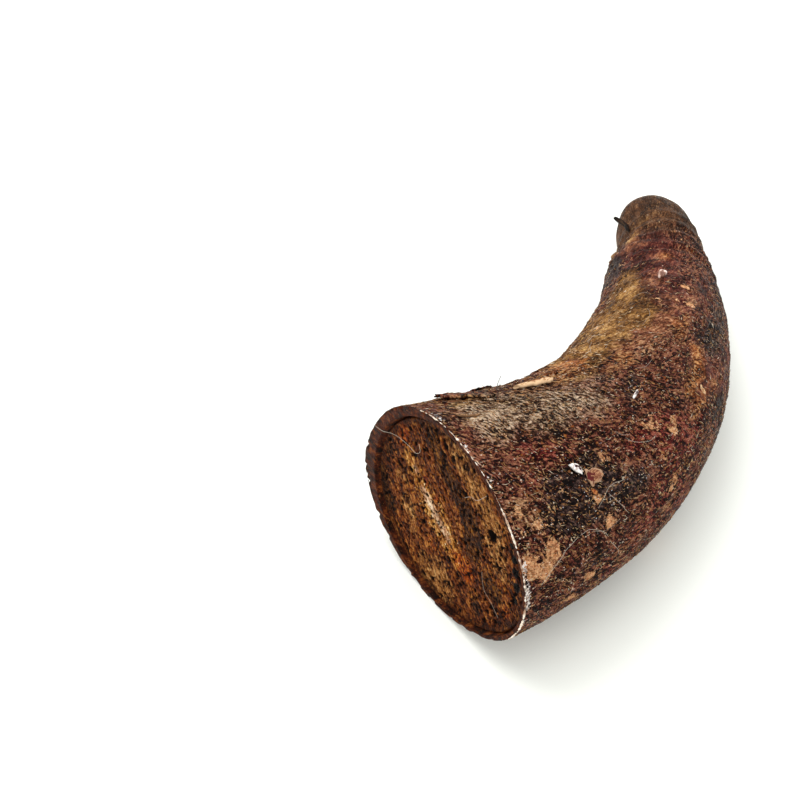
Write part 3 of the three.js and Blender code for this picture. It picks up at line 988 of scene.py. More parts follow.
def make_burr():
    bm = bmesh.new()
    ring = bmesh.ops.create_circle(bm, cap_ends=True, segments=BURR_SIDES, radius=BURR_RADIUS)["verts"]
    bmesh.ops.translate(bm, verts=ring, vec=(CUT_HALF_WIDTH, 0, 0))
    start = Matrix.Rotation(math.radians(-BURR_FROM), 3, "Y")
    bmesh.ops.rotate(bm, verts=ring, cent=(0, 0, 0), matrix=start)
    turn = math.radians(BURR_FROM - BURR_TO)
    parts = bm.verts[:] + bm.edges[:] + bm.faces[:]
    bmesh.ops.spin(bm, geom=parts, cent=(0, 0, 0), axis=(0, 1, 0), angle=turn, steps=BURR_STEPS)
    bmesh.ops.remove_doubles(bm, verts=bm.verts, dist=1e-6)
    bmesh.ops.recalc_face_normals(bm, faces=bm.faces)
    piece = finished_mesh("saw_burr", bm)
    points = points_of(piece)
    radius = np.hypot(points[:, 0], points[:, 2])
    angle = np.arctan2(points[:, 2], points[:, 0])
    rim = straight_points(CUT_HALF_WIDTH, angle, 0 * angle)
    size = layered(rim, BURR_LAYERS, BURR_SIZE)
    for middle, reach, more in BURR_PATCHES:
        size += more * np.exp(-((degrees_from(angle, middle) / reach) ** 2))
    half = (BURR_TO - BURR_FROM) / 2
    size = np.clip(size, *BURR_RANGE)
    size *= smooth_step(half - np.abs(degrees_from(angle, BURR_FROM + half)), 0, BURR_FADE)
    out = (radius - CUT_HALF_WIDTH) * size
    ahead = points[:, 1] * size * BURR_AHEAD
    lip = CUT_HALF_WIDTH + relief(angle, 0 * angle) - BURR_SUNK
    move_points(piece, curl(lip + out, angle, ahead + BURR_SUNK))
    note(piece, "straight", straight_points(radius, angle, points[:, 1]))
    smooth(piece)
    return piece


# Chips lying on the sheath: degrees round, share along, size, turn in degrees, how far the near end, the
# far end and the outer side stand up, how much narrower the far end is, and colour
CHIPS = {
    "peeling_splinter": (62, 0.092, (0.0142, 0.0062, 0.0008), 31, (0.0008, 0.0, 0.0007), -0.2, "bark"),
    "pale_chip": (71, 0.200, (0.0102, 0.0036, 0.0012), 21, (0.0004, 0.0006, 0.0006), 0.0, "pale"),
    "tip_spur": (35, 0.893, (0.0048, 0.0017, 0.0013), -6, (-0.0003, 0.0046, 0.0), 0.0, "dark"),
    "rim_sliver": (84, 0.045, (0.0060, 0.0012, 0.0004), 14, (0.0005, 0.0, 0.0003), 0.0, "crust"),
    "white_chip": (127, 0.129, (0.0019, 0.0034, 0.0007), -24, (0.0006, 0.0003, 0.0), 0.3, "white"),
    "red_flake": (134, 0.146, (0.0040, 0.0036, 0.0005), 4, (0.0003, 0.0006, 0.0002), 0.3, "flake"),
    "seed_flake": (141, 0.134, (0.0012, 0.0021, 0.0005), -24, (0.0003, 0.0003, 0.0), 0.0, "seed"),
    "white_sliver": (111, 0.296, (0.0034, 0.0007, 0.0004), -13, (0.0003, 0.0003, 0.0), 0.0, "white"),
    "tan_sliver": (142, 0.404, (0.0026, 0.0008, 0.0004), -70, (0.0002, 0.0002, 0.0), 0.0, "pale"),
    "waist_sliver": (20, 0.800, (0.0060, 0.0022, 0.0006), 8, (0.0006, 0.0, 0.0), 0.0, "crust"),
    "bark_flap": (48, 0.150, (0.0070, 0.0040, 0.0006), 10, (0.0003, 0.0002, 0.0004), 0.0, "bark"),
    "bark_strip": (76, 0.118, (0.0075, 0.0013, 0.0005), 34, (0.0004, 0.0003, 0.0003), 0.0, "bark"),
    "bark_crumb": (70, 0.265, (0.0036, 0.0016, 0.0005), 24, (0.0003, 0.0003, 0.0), 0.0, "bark"),
}


# How finely a chip is divided, along and across
CHIP_CUTS = (36, 12)
CHIP_RANGE = (0.0004, HORN_LENGTH - 0.0015)  # along the horn, that chips keep to

# How a chip's outline is torn: strength, and size as a share of its length or its width
SIDE_TEARS = (0.35, 0.13)
SIDE_NICKS = (0.2, 0.0006)  # of this size on every chip
END_TEARS = (0.12, 0.3)
END_WIDTH = 0.02  # square of how wide the very end is

# A chip about as long as it is wide is nearly square, a long one is rounder
SQUARE_CHIP = (0.9, 1.2)
SQUARE_ENDS = 14
ROUND_ENDS = 4

CHIP_SEED = 0.37  # for each degree round at which a chip lies, so that no two look alike
CHIP_BUMPS = 0.25  # height as a share of its thickness
CHIP_BUMP_SIZES = (0.0012, 0.0006, 1)
CHIP_EDGE = 0.35  # how thick its edge is, as a share of its thickness
CHIP_UNDERSIDE = (-0.0001, 0.15)  # height, and how much of the bumps it has
CHIP_CURLING = 1.5  # how late the ends start to rise


def chip_plate(name):
    """A flat plate one by one, with a top and an underside."""
    bm = bmesh.new()
    bmesh.ops.create_grid(bm, x_segments=CHIP_CUTS[0], y_segments=CHIP_CUTS[1], size=0.5)
    bmesh.ops.solidify(bm, geom=bm.faces[:], thickness=0.2)
    bmesh.ops.recalc_face_normals(bm, faces=bm.faces)
    return finished_mesh(name, bm)


def torn_outline(t, s, length, width, taper, seed):
    """How far a chip's points lie along and across it, from their shares of its length and width."""
    line = np.stack([t * length, 0 * t, 0 * t], -1)
    tears = ((SIDE_TEARS[0], length * SIDE_TEARS[1], seed), (*SIDE_NICKS, seed + 3))
    ragged = layered(line, tears, 1)
    rounding = SQUARE_ENDS if SQUARE_CHIP[0] < length / width < SQUARE_CHIP[1] else ROUND_ENDS
    narrow = np.sqrt(np.clip(1 - (2 * t) ** rounding, END_WIDTH, 1)) * (1 - 2 * t * taper)
    line = np.stack([0 * t, s * width, 0 * t], -1)
    jag = END_TEARS[0] * patchy(line, width * END_TEARS[1], seed + 5)
    return (t + jag * np.abs(2 * t)) * length, s * width * ragged * narrow


def chip_lift(t, s, lifts):
    """How far its near end, its far end and its outer side curl up off the sheath."""
    near_end, far_end, outer_side = lifts
    lift = near_end * np.clip(-2 * t, 0, 1) ** CHIP_CURLING + far_end * np.clip(2 * t, 0, 1) ** CHIP_CURLING
    return lift + outer_side * np.clip(2 * s, 0, 1)


def make_chip(name, around, at, size, turn, lifts, taper):
    """A thin ragged plate that follows the sheath, thinner towards its edges."""
    length, width, thick = size
    piece = chip_plate(name)
    points = points_of(piece)
    t, s = points[:, 0], points[:, 1]
    top = points[:, 2] > points[:, 2].mean()
    seed = around * CHIP_SEED
    run, across = torn_outline(t, s, length, width, taper, seed)
    turn = math.radians(turn)
    over = run * math.sin(turn) + across * math.cos(turn)
    ahead = run * math.cos(turn) - across * math.sin(turn)
    along = np.clip(at * HORN_LENGTH + ahead, *CHIP_RANGE)
    angle = math.radians(around) + over / outer_radius(along)
    bumps = CHIP_BUMPS * thick * patchy(np.stack([run, across, 0 * t], -1), CHIP_BUMP_SIZES, seed + 7)
    edge = np.clip(1 - (2 * s) ** 6, 0, 1) * np.clip(1 - (2 * t) ** 8, 0, 1)
    upper = thick * (CHIP_EDGE + (1 - CHIP_EDGE) * edge) + bumps
    under, share = CHIP_UNDERSIDE
    height = np.where(top, upper, under + share * bumps)
    move_points(piece, on_sheath(angle, along, chip_lift(t, s, lifts) + height))
    smooth(piece)
    note_place(piece, outer_radius(along), angle, along)
    note(piece, "chip", np.stack([t, s, 0 * t], -1))
    note_tints(piece, angle, along)
    return piece


BEAD = (89, 0.640, 0.0012)  # degrees round, share along and radius
BEAD_LUMPS = (0.25, 0.9, 4)  # strength, size as a share of its radius, and seed
BEAD_TALL = 1.3  # how much taller than wide it is
BEAD_UP = 0.7  # how far its middle stands off the skin, as a share of its radius


def make_bead():
    """A dried bead of fat on the upper side, towards the tip."""
    bm = bmesh.new()
    bmesh.ops.create_icosphere(bm, subdivisions=4, radius=1)
    bmesh.ops.recalc_face_normals(bm, faces=bm.faces)
    piece = finished_mesh("fat_bead", bm)
    points = points_of(piece)
    around, at, radius = BEAD
    lumps = layered(points, (BEAD_LUMPS,), 1)
    points = points * lumps[:, None] * radius
    along = at * HORN_LENGTH + points[:, 1]
    angle = math.radians(around) + points[:, 0] / outer_radius(at * HORN_LENGTH)
    move_points(piece, on_sheath(angle, along, points[:, 2] * BEAD_TALL + BEAD_UP * radius))
    smooth(piece)
    note_place(piece, outer_radius(along), angle, along)
    return piece


def shade(code):
    """A colour given in the usual hexadecimal form, as a shader wants it."""
    parts = [int(code[i : i + 2], 16) / 255 for i in (1, 3, 5)]
    return (*[p / 12.92 if p <= 0.04045 else ((p + 0.055) / 1.055) ** 2.4 for p in parts], 1)


# Tones at which the five colours of a zone lie, from dark to light
TONE_STOPS = (0.30, 0.42, 0.50, 0.58, 0.70)


class Recipe:
    """The nodes of one material. Each call adds one and gives the socket with its result."""

    def __init__(self, name):
        self.material = bpy.data.materials.new(name)
        self.material.use_nodes = True
        self.tree = self.material.node_tree
        self.shader = self.tree.nodes["Principled BSDF"]

    def add(self, kind, inputs, out=0, **settings):
        node = self.tree.nodes.new(kind)
        for key, value in settings.items():
            setattr(node, key, value)
        for key, value in inputs.items():
            self.put(node.inputs[key], value)
        return node.outputs[out]

    def put(self, socket, value):
        if isinstance(value, bpy.types.NodeSocket):
            self.tree.links.new(value, socket)
        else:
            socket.default_value = value

    def finish(self, **inputs):
        for key, value in inputs.items():
            self.put(self.shader.inputs[key.replace("_", " ")], value)
        return self.material

    def value(self, name):
        return self.add("ShaderNodeAttribute", {}, "Fac", attribute_name=name)

    def vector(self, name):
        return self.add("ShaderNodeAttribute", {}, "Vector", attribute_name=name)

    def math(self, operation, a, b):
        return self.add("ShaderNodeMath", {0: a, 1: b}, operation=operation)

    def plus(self, total, *others):
        for other in others:
            total = self.math("ADD", total, other)
        return total

    def times(self, product, *others):
        for other in others:
            product = self.math("MULTIPLY", product, other)
        return product

    def minus(self, a, b):
        return self.math("SUBTRACT", a, b)

    def swing(self, field, weight):
        """A pattern's swing about its middle, at some weight."""
        return self.times(self.minus(field, 0.5), weight)

    def between(self, value, low, high, start=0.0, end=1.0):
        """A soft step of a value from low to high, which gives start to end."""
        inputs = {"Value": value, "From Min": low, "From Max": high, "To Min": start, "To Max": end}
        return self.add("ShaderNodeMapRange", inputs, interpolation_type="SMOOTHSTEP")

    def blend(self, share, a, b):
        """A number between two others."""
        node = self.tree.nodes.new("ShaderNodeMix")
        for i, value in ((0, share), (2, a), (3, b)):
            self.put(node.inputs[i], value)
        return node.outputs[0]

    def mix(self, share, a, b):
        """A colour between two others."""
        node = self.tree.nodes.new("ShaderNodeMix")
        node.data_type = "RGBA"
        for i, value in ((0, share), (6, a), (7, b)):
            self.put(node.inputs[i], value)
        return node.outputs[2]

    def ramp(self, value, stops):
        node = self.tree.nodes.new("ShaderNodeValToRGB")
        self.put(node.inputs[0], value)
        elements = node.color_ramp.elements
        while len(elements) < len(stops):
            elements.new(0.5)
        for element, (place, code) in zip(elements, stops):
            element.position = place
            element.color = shade(code)
        return node.outputs[0]

    def tones(self, tone, colours):
        """The colour of a tone, out of a zone's five."""
        return self.ramp(tone, tuple(zip(TONE_STOPS, colours)))

    def bump(self, height, distance, strength):
        return self.add("ShaderNodeBump", {"Height": height, "Distance": distance, "Strength": strength})

    def placed(self, vector, size, turn=(0, 0, 0), shift=(0, 0, 0)):
        """Coordinates in which one patch has the given size along X, Y and Z, after a turn."""
        turned = self.add("ShaderNodeMapping", {"Vector": vector, "Rotation": turn, "Location": shift})
        return self.add("ShaderNodeMapping", {"Vector": turned, "Scale": tuple(1 / s for s in size)})

    def patches(self, vector, size, turn=(0, 0, 0), shift=(0, 0, 0), detail=2.0, rough=0.5, twist=0.0):
        """Noise in patches of a size, which may differ along X, Y and Z."""
        size = size if isinstance(size, tuple) else (size,) * 3
        placed = self.placed(vector, size, turn, shift)
        inputs = {"Vector": placed, "Scale": 1.0, "Detail": detail, "Roughness": rough, "Distortion": twist}
        return self.add("ShaderNodeTexNoise", inputs)

    def wandering(self, vector, size, reach):
        """Coordinates moved a little this way and that, so that marks on them wander."""
        inputs = {"Vector": self.placed(vector, (size,) * 3), "Scale": 1.0, "Detail": 2.0}
        sway = self.add("ShaderNodeTexNoise", inputs, "Color")
        sway = self.add("ShaderNodeVectorMath", {0: sway, 1: (0.5, 0.5, 0.5)}, operation="SUBTRACT")
        sway = self.add("ShaderNodeVectorMath", {0: sway, "Scale": reach}, operation="SCALE")
        return self.add("ShaderNodeVectorMath", {0: vector, 1: sway}, operation="ADD")

    def cell_colours(self, vector, size):
        """A colour at random for each cell of a size."""
        inputs = {"Vector": self.placed(vector, (size,) * 3), "Scale": 1.0}
        return self.add("ShaderNodeTexVoronoi", inputs, "Color")

    def crumbs(self, skin, width, length, turn):
        """Crumbs on the flat skin, turned by some degrees from the horn's length: a random number for
        each, and how far it is to the nearest gap."""
        placed = self.placed(skin, (width, length, 1.0), (0, 0, math.radians(turn)))
        settings = {"voronoi_dimensions": "2D"}
        chance = self.add("ShaderNodeTexVoronoi", {"Vector": placed, "Scale": 1.0}, "Color", **settings)
        settings["feature"] = "DISTANCE_TO_EDGE"
        gap = self.add("ShaderNodeTexVoronoi", {"Vector": placed, "Scale": 1.0}, "Distance", **settings)
        return self.add("ShaderNodeSeparateColor", {"Color": chance}), gap

    def specks(self, skin, size, radius, chance, seed=0.0):
        """Round specks, one in some of the cells of the flat skin, and a random number for each. The
        radius is a share of a cell's size, and the chance is the share of the cells that stay bare."""
        placed = self.placed(skin, (*size, 1.0), shift=(seed, seed, 0))
        node = self.tree.nodes.new("ShaderNodeTexVoronoi")
        node.voronoi_dimensions = "2D"
        self.put(node.inputs["Vector"], placed)
        self.put(node.inputs["Scale"], 1.0)
        pick = self.add("ShaderNodeSeparateColor", {"Color": node.outputs["Color"]})
        reach = self.between(pick, chance, 1.0, 0.0, radius)
        inside = self.minus(reach, node.outputs["Distance"])
        hue = self.add("ShaderNodeSeparateColor", {"Color": node.outputs["Color"]}, "Green")
        return self.between(inside, 0.0, 0.08), hue

    def ragged(self, place, name, size, seed, low, high):
        """A mask kept at the points, with its soft edge torn into patches of a size."""
        torn = self.patches(place, size, detail=5.0, rough=0.65, shift=(seed, 0, 0))
        return self.between(self.plus(self.value(name), self.swing(torn, 1.6)), low, high)

    def layers(self, place, tone, colour, zones):
        """Lays zones over a colour: each has its mask, and five colours for the tone."""
        for *mask, colours in zones:
            colour = self.mix(self.ragged(place, *mask), colour, self.tones(tone, colours))
        return colour


# Dark to light colours of the sheath's zones
BARE_HORN = ("#0e0403", "#270d09", "#451e1a", "#6a362b", "#9c654c")
WINE = ("#120303", "#2f0a0a", "#501615", "#772c26", "#ac624e")
SOOT = ("#0a0504", "#160c0b", "#241a1b", "#3d2d2a", "#6a5148")
# Dust, and painted light on the top of the horn
DUST_AND_TOP_LIGHT = ("#190f0a", "#4c3729", "#7c6049", "#a58669", "#e0c7aa")
OCHRE = ("#211406", "#553617", "#80582c", "#a57a45", "#cfaa70")
FOX = ("#170804", "#4f2512", "#824723", "#ab683b", "#d6a26a")
ROSY = ("#140805", "#482519", "#75442f", "#9a6648", "#ca9c74")
TIP = ("#1d120b", "#352215", "#46301d", "#553b24", "#6a4c30")
WORN_SKIN = ((0.34, "#7a3c1c"), (0.43, "#c4845a"), (0.58, "#dfa979"), (0.7, "#f2cfa6"))
CHALK = ((0.34, "#7a4a38"), (0.44, "#d8c0b0"), (0.6, "#fbf6f0"))
# Painted shade in the creases
CREASE_SHADE = "#1c0f0b"
# Painted shade for the gaps between the crumbs
GAP_SHADE = "#0c0403"
PALE_CRUMBS = ((0.0, "#a3622f"), (0.5, "#bf8c58"), (1.0, "#d6b88c"))
FLECKS = ((0.0, "#a8622c"), (0.4, "#8a4418"), (0.7, "#cf9f68"), (1.0, "#e6cfa4"))
GRIT = (
    (0.0, "#0a0403"), (0.3, "#541713"), (0.45, "#98542a"),
    (0.62, "#b57f50"), (0.8, "#c9a27a"), (1.0, "#ead9c6"),
)
# Colour of the painted highlights, the glints
PAINTED_GLINT = "#ecebf0"

# Where the zones' edges are torn: mask, size and seed of the tears, and where a zone starts and is full.
# The tip's polish lies over the first ones and under the others
ZONES_UNDER_TIP = (
    ("wine", 0.006, 1, 0.3, 0.8, WINE),
    ("soot", 0.005, 2, 0.3, 0.75, SOOT),
    ("rosy", 0.005, 5, 0.3, 0.8, ROSY),
)
ZONES_OVER_TIP = (
    ("ochre", 0.008, 3, 0.25, 0.9, OCHRE),
    ("fox", 0.006, 6, 0.25, 0.85, FOX),
    ("dust", 0.003, 4, 0.15, 1.1, DUST_AND_TOP_LIGHT),
)
CALM_MASK = ("calm", 0.007, 9, 0.25, 0.95)

# Distances along the horn over which its skin grows calm, and over which the tip's polish comes in
CALMING = (0.122, 0.158)
POLISH = (0.130, 0.150)
POLISH_SHARE = 0.8

# Width, length and degrees from the horn's length of the two kinds of crumbs of dried skin
CRUMBS_ACROSS = (0.00042, 0.00125, 62)
CRUMBS_LENGTHWISE = (0.00040, 0.00135, 18)

# How much each pattern moves the tone of the ground, in the calm parts and in the lively ones
TONE_SHARES = {
    "great": (0.35, 0.35),
    "broad": (0.5, 0.7),
    "crumb": (0.03, 0.42),
    "fine": (0.2, 1.0),
    "streak": (0.3, 0.3),
}
MIDDLE_TONE = 0.495
CLEAN_CONTRAST = 1.18  # of the tone where there is no soot

# Specks on the skin: size of their cells, radius as a share of a cell, how many cells stay bare, and seed
FLECK_SPECKS = ((0.0010, 0.0014), 0.36, 0.82, 0.0)
GRIT_SPECKS = ((0.00042, 0.00056), 0.42, 0.55, 0.4)
PAINTED_GLINT_SPECKS = ((0.0008, 0.0008), 0.2, 0.76, 0.9)
SKIN_RELIEF = 0.0007


def crumbled_skin(r, place, skin):
    """Crumbs of dried skin, longer than wide, lying across the horn in some places and along it in others."""
    where = r.between(r.patches(place, 0.008, detail=2.0, shift=(6, 0, 0)), 0.44, 0.56)
    across, across_gap = r.crumbs(skin, *CRUMBS_ACROSS)
    lengthwise, lengthwise_gap = r.crumbs(skin, *CRUMBS_LENGTHWISE)
    return r.blend(where, across, lengthwise), r.blend(where, across_gap, lengthwise_gap)


def ground_patterns(r, place, skin, crumb):
    """What makes the ground lighter and darker: great patches, small ones, crumbs and long faint streaks."""
    return {
        "great": r.patches(place, 0.011, detail=2.0, shift=(9, 0, 0)),
        "broad": r.patches(place, (0.0034, 0.0048, 0.0034), detail=7.0, rough=0.72, twist=0.3),
        "crumb": crumb,
        "fine": r.patches(place, 0.0007, detail=4.0, rough=0.72),
        "streak": r.patches(skin, (0.0006, 0.0045, 1), (0, 0, math.radians(30)), detail=4.0, rough=0.65),
    }


def ground_tone(r, patterns, lively):
    parts = [r.swing(field, r.blend(lively, *TONE_SHARES[name])) for name, field in patterns.items()]
    contrast = r.blend(r.value("soot"), CLEAN_CONTRAST, 1.0)
    return r.plus(MIDDLE_TONE, r.times(r.plus(*parts), contrast))


def worn_places(r, place, fine, colour):
    """Skin worn down to the tan horn, chalky crumbs by the cut, and painted shade in the creases at the
    waist.
    """
    edge = r.patches(place, 0.0042, detail=7.0, rough=0.72, shift=(5, 0, 0))
    torn = r.swing(edge, 3.2)
    worn = r.between(r.plus(r.value("worn"), r.plus(torn, r.swing(fine, 1.2))), 0.46, 0.56)
    colour = r.mix(worn, colour, r.ramp(fine, WORN_SKIN))
    crumbled = r.plus(r.times(torn, 0.5), r.swing(fine, 2.2))
    chalk = r.between(r.plus(r.value("chalk"), crumbled), 0.55, 0.7)
    colour = r.mix(chalk, colour, r.ramp(fine, CHALK))
    # Painted shade in the waist's creases
    crease_shade = r.between(r.plus(r.value("crease_shade"), r.times(torn, 0.3)), 0.35, 0.7)
    return r.mix(r.times(crease_shade, 0.8), colour, shade(CREASE_SHADE)), worn


def sheath_material():
    r = Recipe("weathered horn")
    place = r.vector("straight")
    skin = r.wandering(r.vector("skin"), 0.003, 0.0012)
    along = r.add("ShaderNodeSeparateXYZ", {"Vector": place}, "Y")
    calm = r.ragged(place, *CALM_MASK)
    rough = r.minus(1.0, r.times(calm, 0.8))
    lively = r.times(rough, r.between(along, *CALMING, 1.0, 0.25))

    crumb, gap = crumbled_skin(r, place, skin)
    patterns = ground_patterns(r, place, skin, crumb)
    fine = patterns["fine"]
    tone = ground_tone(r, patterns, lively)
    colour = r.layers(place, tone, r.tones(tone, BARE_HORN), ZONES_UNDER_TIP)
    tip = r.between(r.plus(along, r.swing(patterns["great"], 0.03)), *POLISH)
    colour = r.mix(r.times(tip, POLISH_SHARE), colour, r.tones(tone, TIP))
    colour = r.layers(place, tone, colour, ZONES_OVER_TIP)
    colour, worn = worn_places(r, place, fine, colour)

    # Painted shade in the gaps between the crumbs
    dark = r.times(r.between(gap, 0.14, 0.02), r.between(fine, 0.62, 0.42))
    dark = r.times(dark, lively, r.minus(1.0, r.times(worn, 0.8)))
    colour = r.mix(r.times(dark, 0.8), colour, shade(GAP_SHADE))

    # Pale crumbs and flecks of tan and orange skin, which crowd in places
    crowd = r.between(r.patches(place, 0.006, detail=3.0, shift=(7, 0, 0)), 0.38, 0.62)
    busy = r.times(crowd, lively)
    pale = r.times(r.between(crumb, 0.84, 0.9), r.between(fine, 0.46, 0.56))
    colour = r.mix(r.times(pale, busy), colour, r.ramp(r.cell_colours(skin, 0.0007), PALE_CRUMBS))
    flecks, hue = r.specks(skin, *FLECK_SPECKS)
    colour = r.mix(r.times(flecks, r.times(busy, 0.9)), colour, r.ramp(hue, FLECKS))

    # Grit of many colours, and painted highlights: tiny pale glints, most of them in the soot
    grit, hue = r.specks(skin, *GRIT_SPECKS)
    colour = r.mix(r.times(grit, r.times(lively, 0.8)), colour, r.ramp(hue, GRIT))
    painted_glints, _ = r.specks(skin, *PAINTED_GLINT_SPECKS)
    sooty = r.plus(0.12, r.times(r.value("soot"), 0.8))
    colour = r.mix(r.times(painted_glints, lively, sooty), colour, shade(PAINTED_GLINT))

    height = r.plus(r.times(patterns["broad"], 1.2), r.times(fine, 0.5))
    height = r.plus(height, r.times(crumb, r.between(gap, 0.0, 0.25), 0.6), r.times(flecks, 0.25))
    normal = r.bump(height, SKIN_RELIEF, r.blend(lively, 0.25, 1.0))
    gloss = r.between(r.patches(place, 0.0016, detail=3.0, shift=(8, 0, 0)), 0.42, 0.6, 0.6, 0.38)
    return r.finish(Base_Color=colour, Roughness=gloss, Normal=normal, Specular_IOR_Level=0.04)


# Dark to light colours of the rim
RIM = ((0.34, "#0b0301"), (0.45, "#260c04"), (0.55, "#461b08"), (0.68, "#7d4318"))
RIM_PALE_LINE = "#9c6430"
RIM_DARK_LINE = "#120603"


def sawn_horn_material():
    """The rim: brown-red keratin with fine lines across the wall."""
    r = Recipe("sawn horn rim")
    place = r.vector("straight")
    lines = r.patches(place, 0.0007, detail=4.0, rough=0.65)
    broad = r.patches(place, 0.0024, detail=5.0, rough=0.68)
    colour = r.ramp(broad, RIM)
    colour = r.mix(r.times(r.between(lines, 0.58, 0.70), 0.6), colour, shade(RIM_PALE_LINE))
    colour = r.mix(r.times(r.between(lines, 0.47, 0.34), 0.8), colour, shade(RIM_DARK_LINE))
    normal = r.bump(lines, 0.0005, 0.8)
    return r.finish(Base_Color=colour, Roughness=0.5, Normal=normal, Specular_IOR_Level=0.05)


# Dark to light colours of the sawn bone's zones
BONE = ("#120502", "#391505", "#622b0b", "#8a4a1a", "#bd7d3a")
TAN_BONE = ("#1d0c04", "#552c0f", "#844f22", "#a66e37", "#d3a064")
DARK_BONE = ("#0a0301", "#200b04", "#3c1b08", "#5d330e", "#8e5922")
EMBER_BONE = ("#1c0602", "#5a1d06", "#8e3a0c", "#b86018", "#e6a244")
GOLD_BONE = ("#240c03", "#68330c", "#99591e", "#bf8036", "#eec07a")
# Pale bone, partly painted highlight
PALE_BONE_AND_GLINT = ("#44200f", "#8d5a37", "#b98660", "#d8ae86", "#f6e0c0")
BONE_STRAND = "#f6dfae"
# Painted shade of the small round holes
BONE_HOLE_SHADE = "#0b0503"
BONE_EDGE = "#180a05"
# Painted shade in the pores
BONE_PIT_SHADE = "#0e0604"
# Painted shade of the gap by the rim
BONE_GAP_SHADE = "#080403"
BONE_ZONES = (
    ("tan", 0.004, 1, 0.3, 0.7, TAN_BONE),
    ("dark", 0.003, 3, 0.3, 0.7, DARK_BONE),
    ("gold", 0.003, 4, 0.3, 0.7, GOLD_BONE),
    ("pale", 0.002, 5, 0.3, 0.7, PALE_BONE_AND_GLINT),
    ("ember", 0.002, 6, 0.3, 0.7, EMBER_BONE),
)
GRAIN_TURN = math.radians(48)  # of the bone's grain from the section's x
BONE_CONTRAST = 2.1


def bone_material():
    r = Recipe("sawn bone")
    flat = r.vector("flat")
    place = r.wandering(flat, 0.004, 0.0016)
    grain = r.patches(place, (0.0005, 0.0030, 0.003), (0, 0, GRAIN_TURN), detail=5.0, rough=0.65)
    speck = r.patches(place, 0.0007, detail=5.0, rough=0.72)
    broad = r.patches(place, 0.005, detail=3.0, rough=0.6)
    tone = r.plus(r.times(grain, 0.45), r.times(speck, 0.35), r.times(broad, 0.2))
    tone = r.plus(0.5, r.swing(tone, BONE_CONTRAST))
    colour = r.layers(flat, tone, r.tones(tone, BONE), BONE_ZONES)

    # Painted shade of small round holes, pale strands in the golden streak, then the dark edge, and painted
    # shade in the pores and in the gap by the rim
    painted_holes, _ = r.specks(place, (0.0011, 0.0011), 0.36, 0.45)
    colour = r.mix(r.times(painted_holes, 0.85), colour, shade(BONE_HOLE_SHADE))
    strands, _ = r.specks(place, (0.0012, 0.0016), 0.2, 0.75, 0.5)
    colour = r.mix(r.times(strands, r.value("gold")), colour, shade(BONE_STRAND))
    colour = r.mix(r.times(r.value("edge"), 0.6), colour, shade(BONE_EDGE))
    colour = r.mix(r.between(r.value("pit_shade"), 0.1, 0.7), colour, shade(BONE_PIT_SHADE))
    colour = r.mix(r.between(r.value("gap_shade_by_rim"), 0.3, 0.6), colour, shade(BONE_GAP_SHADE))
    normal = r.bump(r.minus(tone, r.times(painted_holes, 0.5)), 0.0007, 1.0)
    return r.finish(Base_Color=colour, Roughness=0.55, Normal=normal, Specular_IOR_Level=0.05)


# Colours of the fibres and of the hairs, by each strand's own random number
FIBRE_COLOURS = (
    (0.0, "#120906"), (0.35, "#41231a"), (0.60, "#7c4c2e"),
    (0.80, "#b3844f"), (0.93, "#d8b98a"), (1.0, "#f2e6cf"),
)
HAIR_COLOURS = ((0.0, "#cfc3b0"), (0.5, "#9f9486"), (0.9, "#7c6d58"), (0.95, "#2a221c"))


def fibre_material():
    """Fibres from dark brown through tan to nearly white, one colour a strand."""
    r = Recipe("loose fibre")
    colour = r.ramp(r.value("chance"), FIBRE_COLOURS)
    return r.finish(Base_Color=colour, Roughness=0.5, Specular_IOR_Level=0.08)


def hair_material():
    r = Recipe("cow hair")
    return r.finish(Base_Color=r.ramp(r.value("chance"), HAIR_COLOURS), Roughness=0.35)


# The chips' looks: name, dark, middle and light colours, rim, stain, the side that the stain is on,
# roughness. A rim paler than the chip is painted highlight along its edge
CHIP_LOOKS = {
    "crust": ("dry crust", "#24140c", "#6b482e", "#b58d62", "#7d5a3c", "#33200f", (-0.4, 0.3, 0), 0.6),
    "dark": ("dark crust", "#0c0806", "#271a12", "#4a3524", "#1c120c", "#0c0806", (-0.4, 0.3, 0), 0.6),
    "pale": ("pale keratin", "#7f4b2a", "#c79769", "#efd2a8", "#dfbc92", "#9c683f", (0.0, -0.7, 0), 0.6),
    "white": ("white bone chip", "#b8a195", "#efe6e0", "#ffffff", "#f6efe9", "#3a0f12", (0.9, 0.2, 0), 0.3),
    "flake": ("red-tan flake", "#5b2e1f", "#86543a", "#b98963", "#b08a6c", "#571815", (-0.8, -0.1, 0), 0.6),
    "seed": ("orange flake", "#7a3a18", "#a05c2c", "#c48446", "#3a1a0c", "#7e2c14", (0.2, -0.2, 0), 0.4),
}


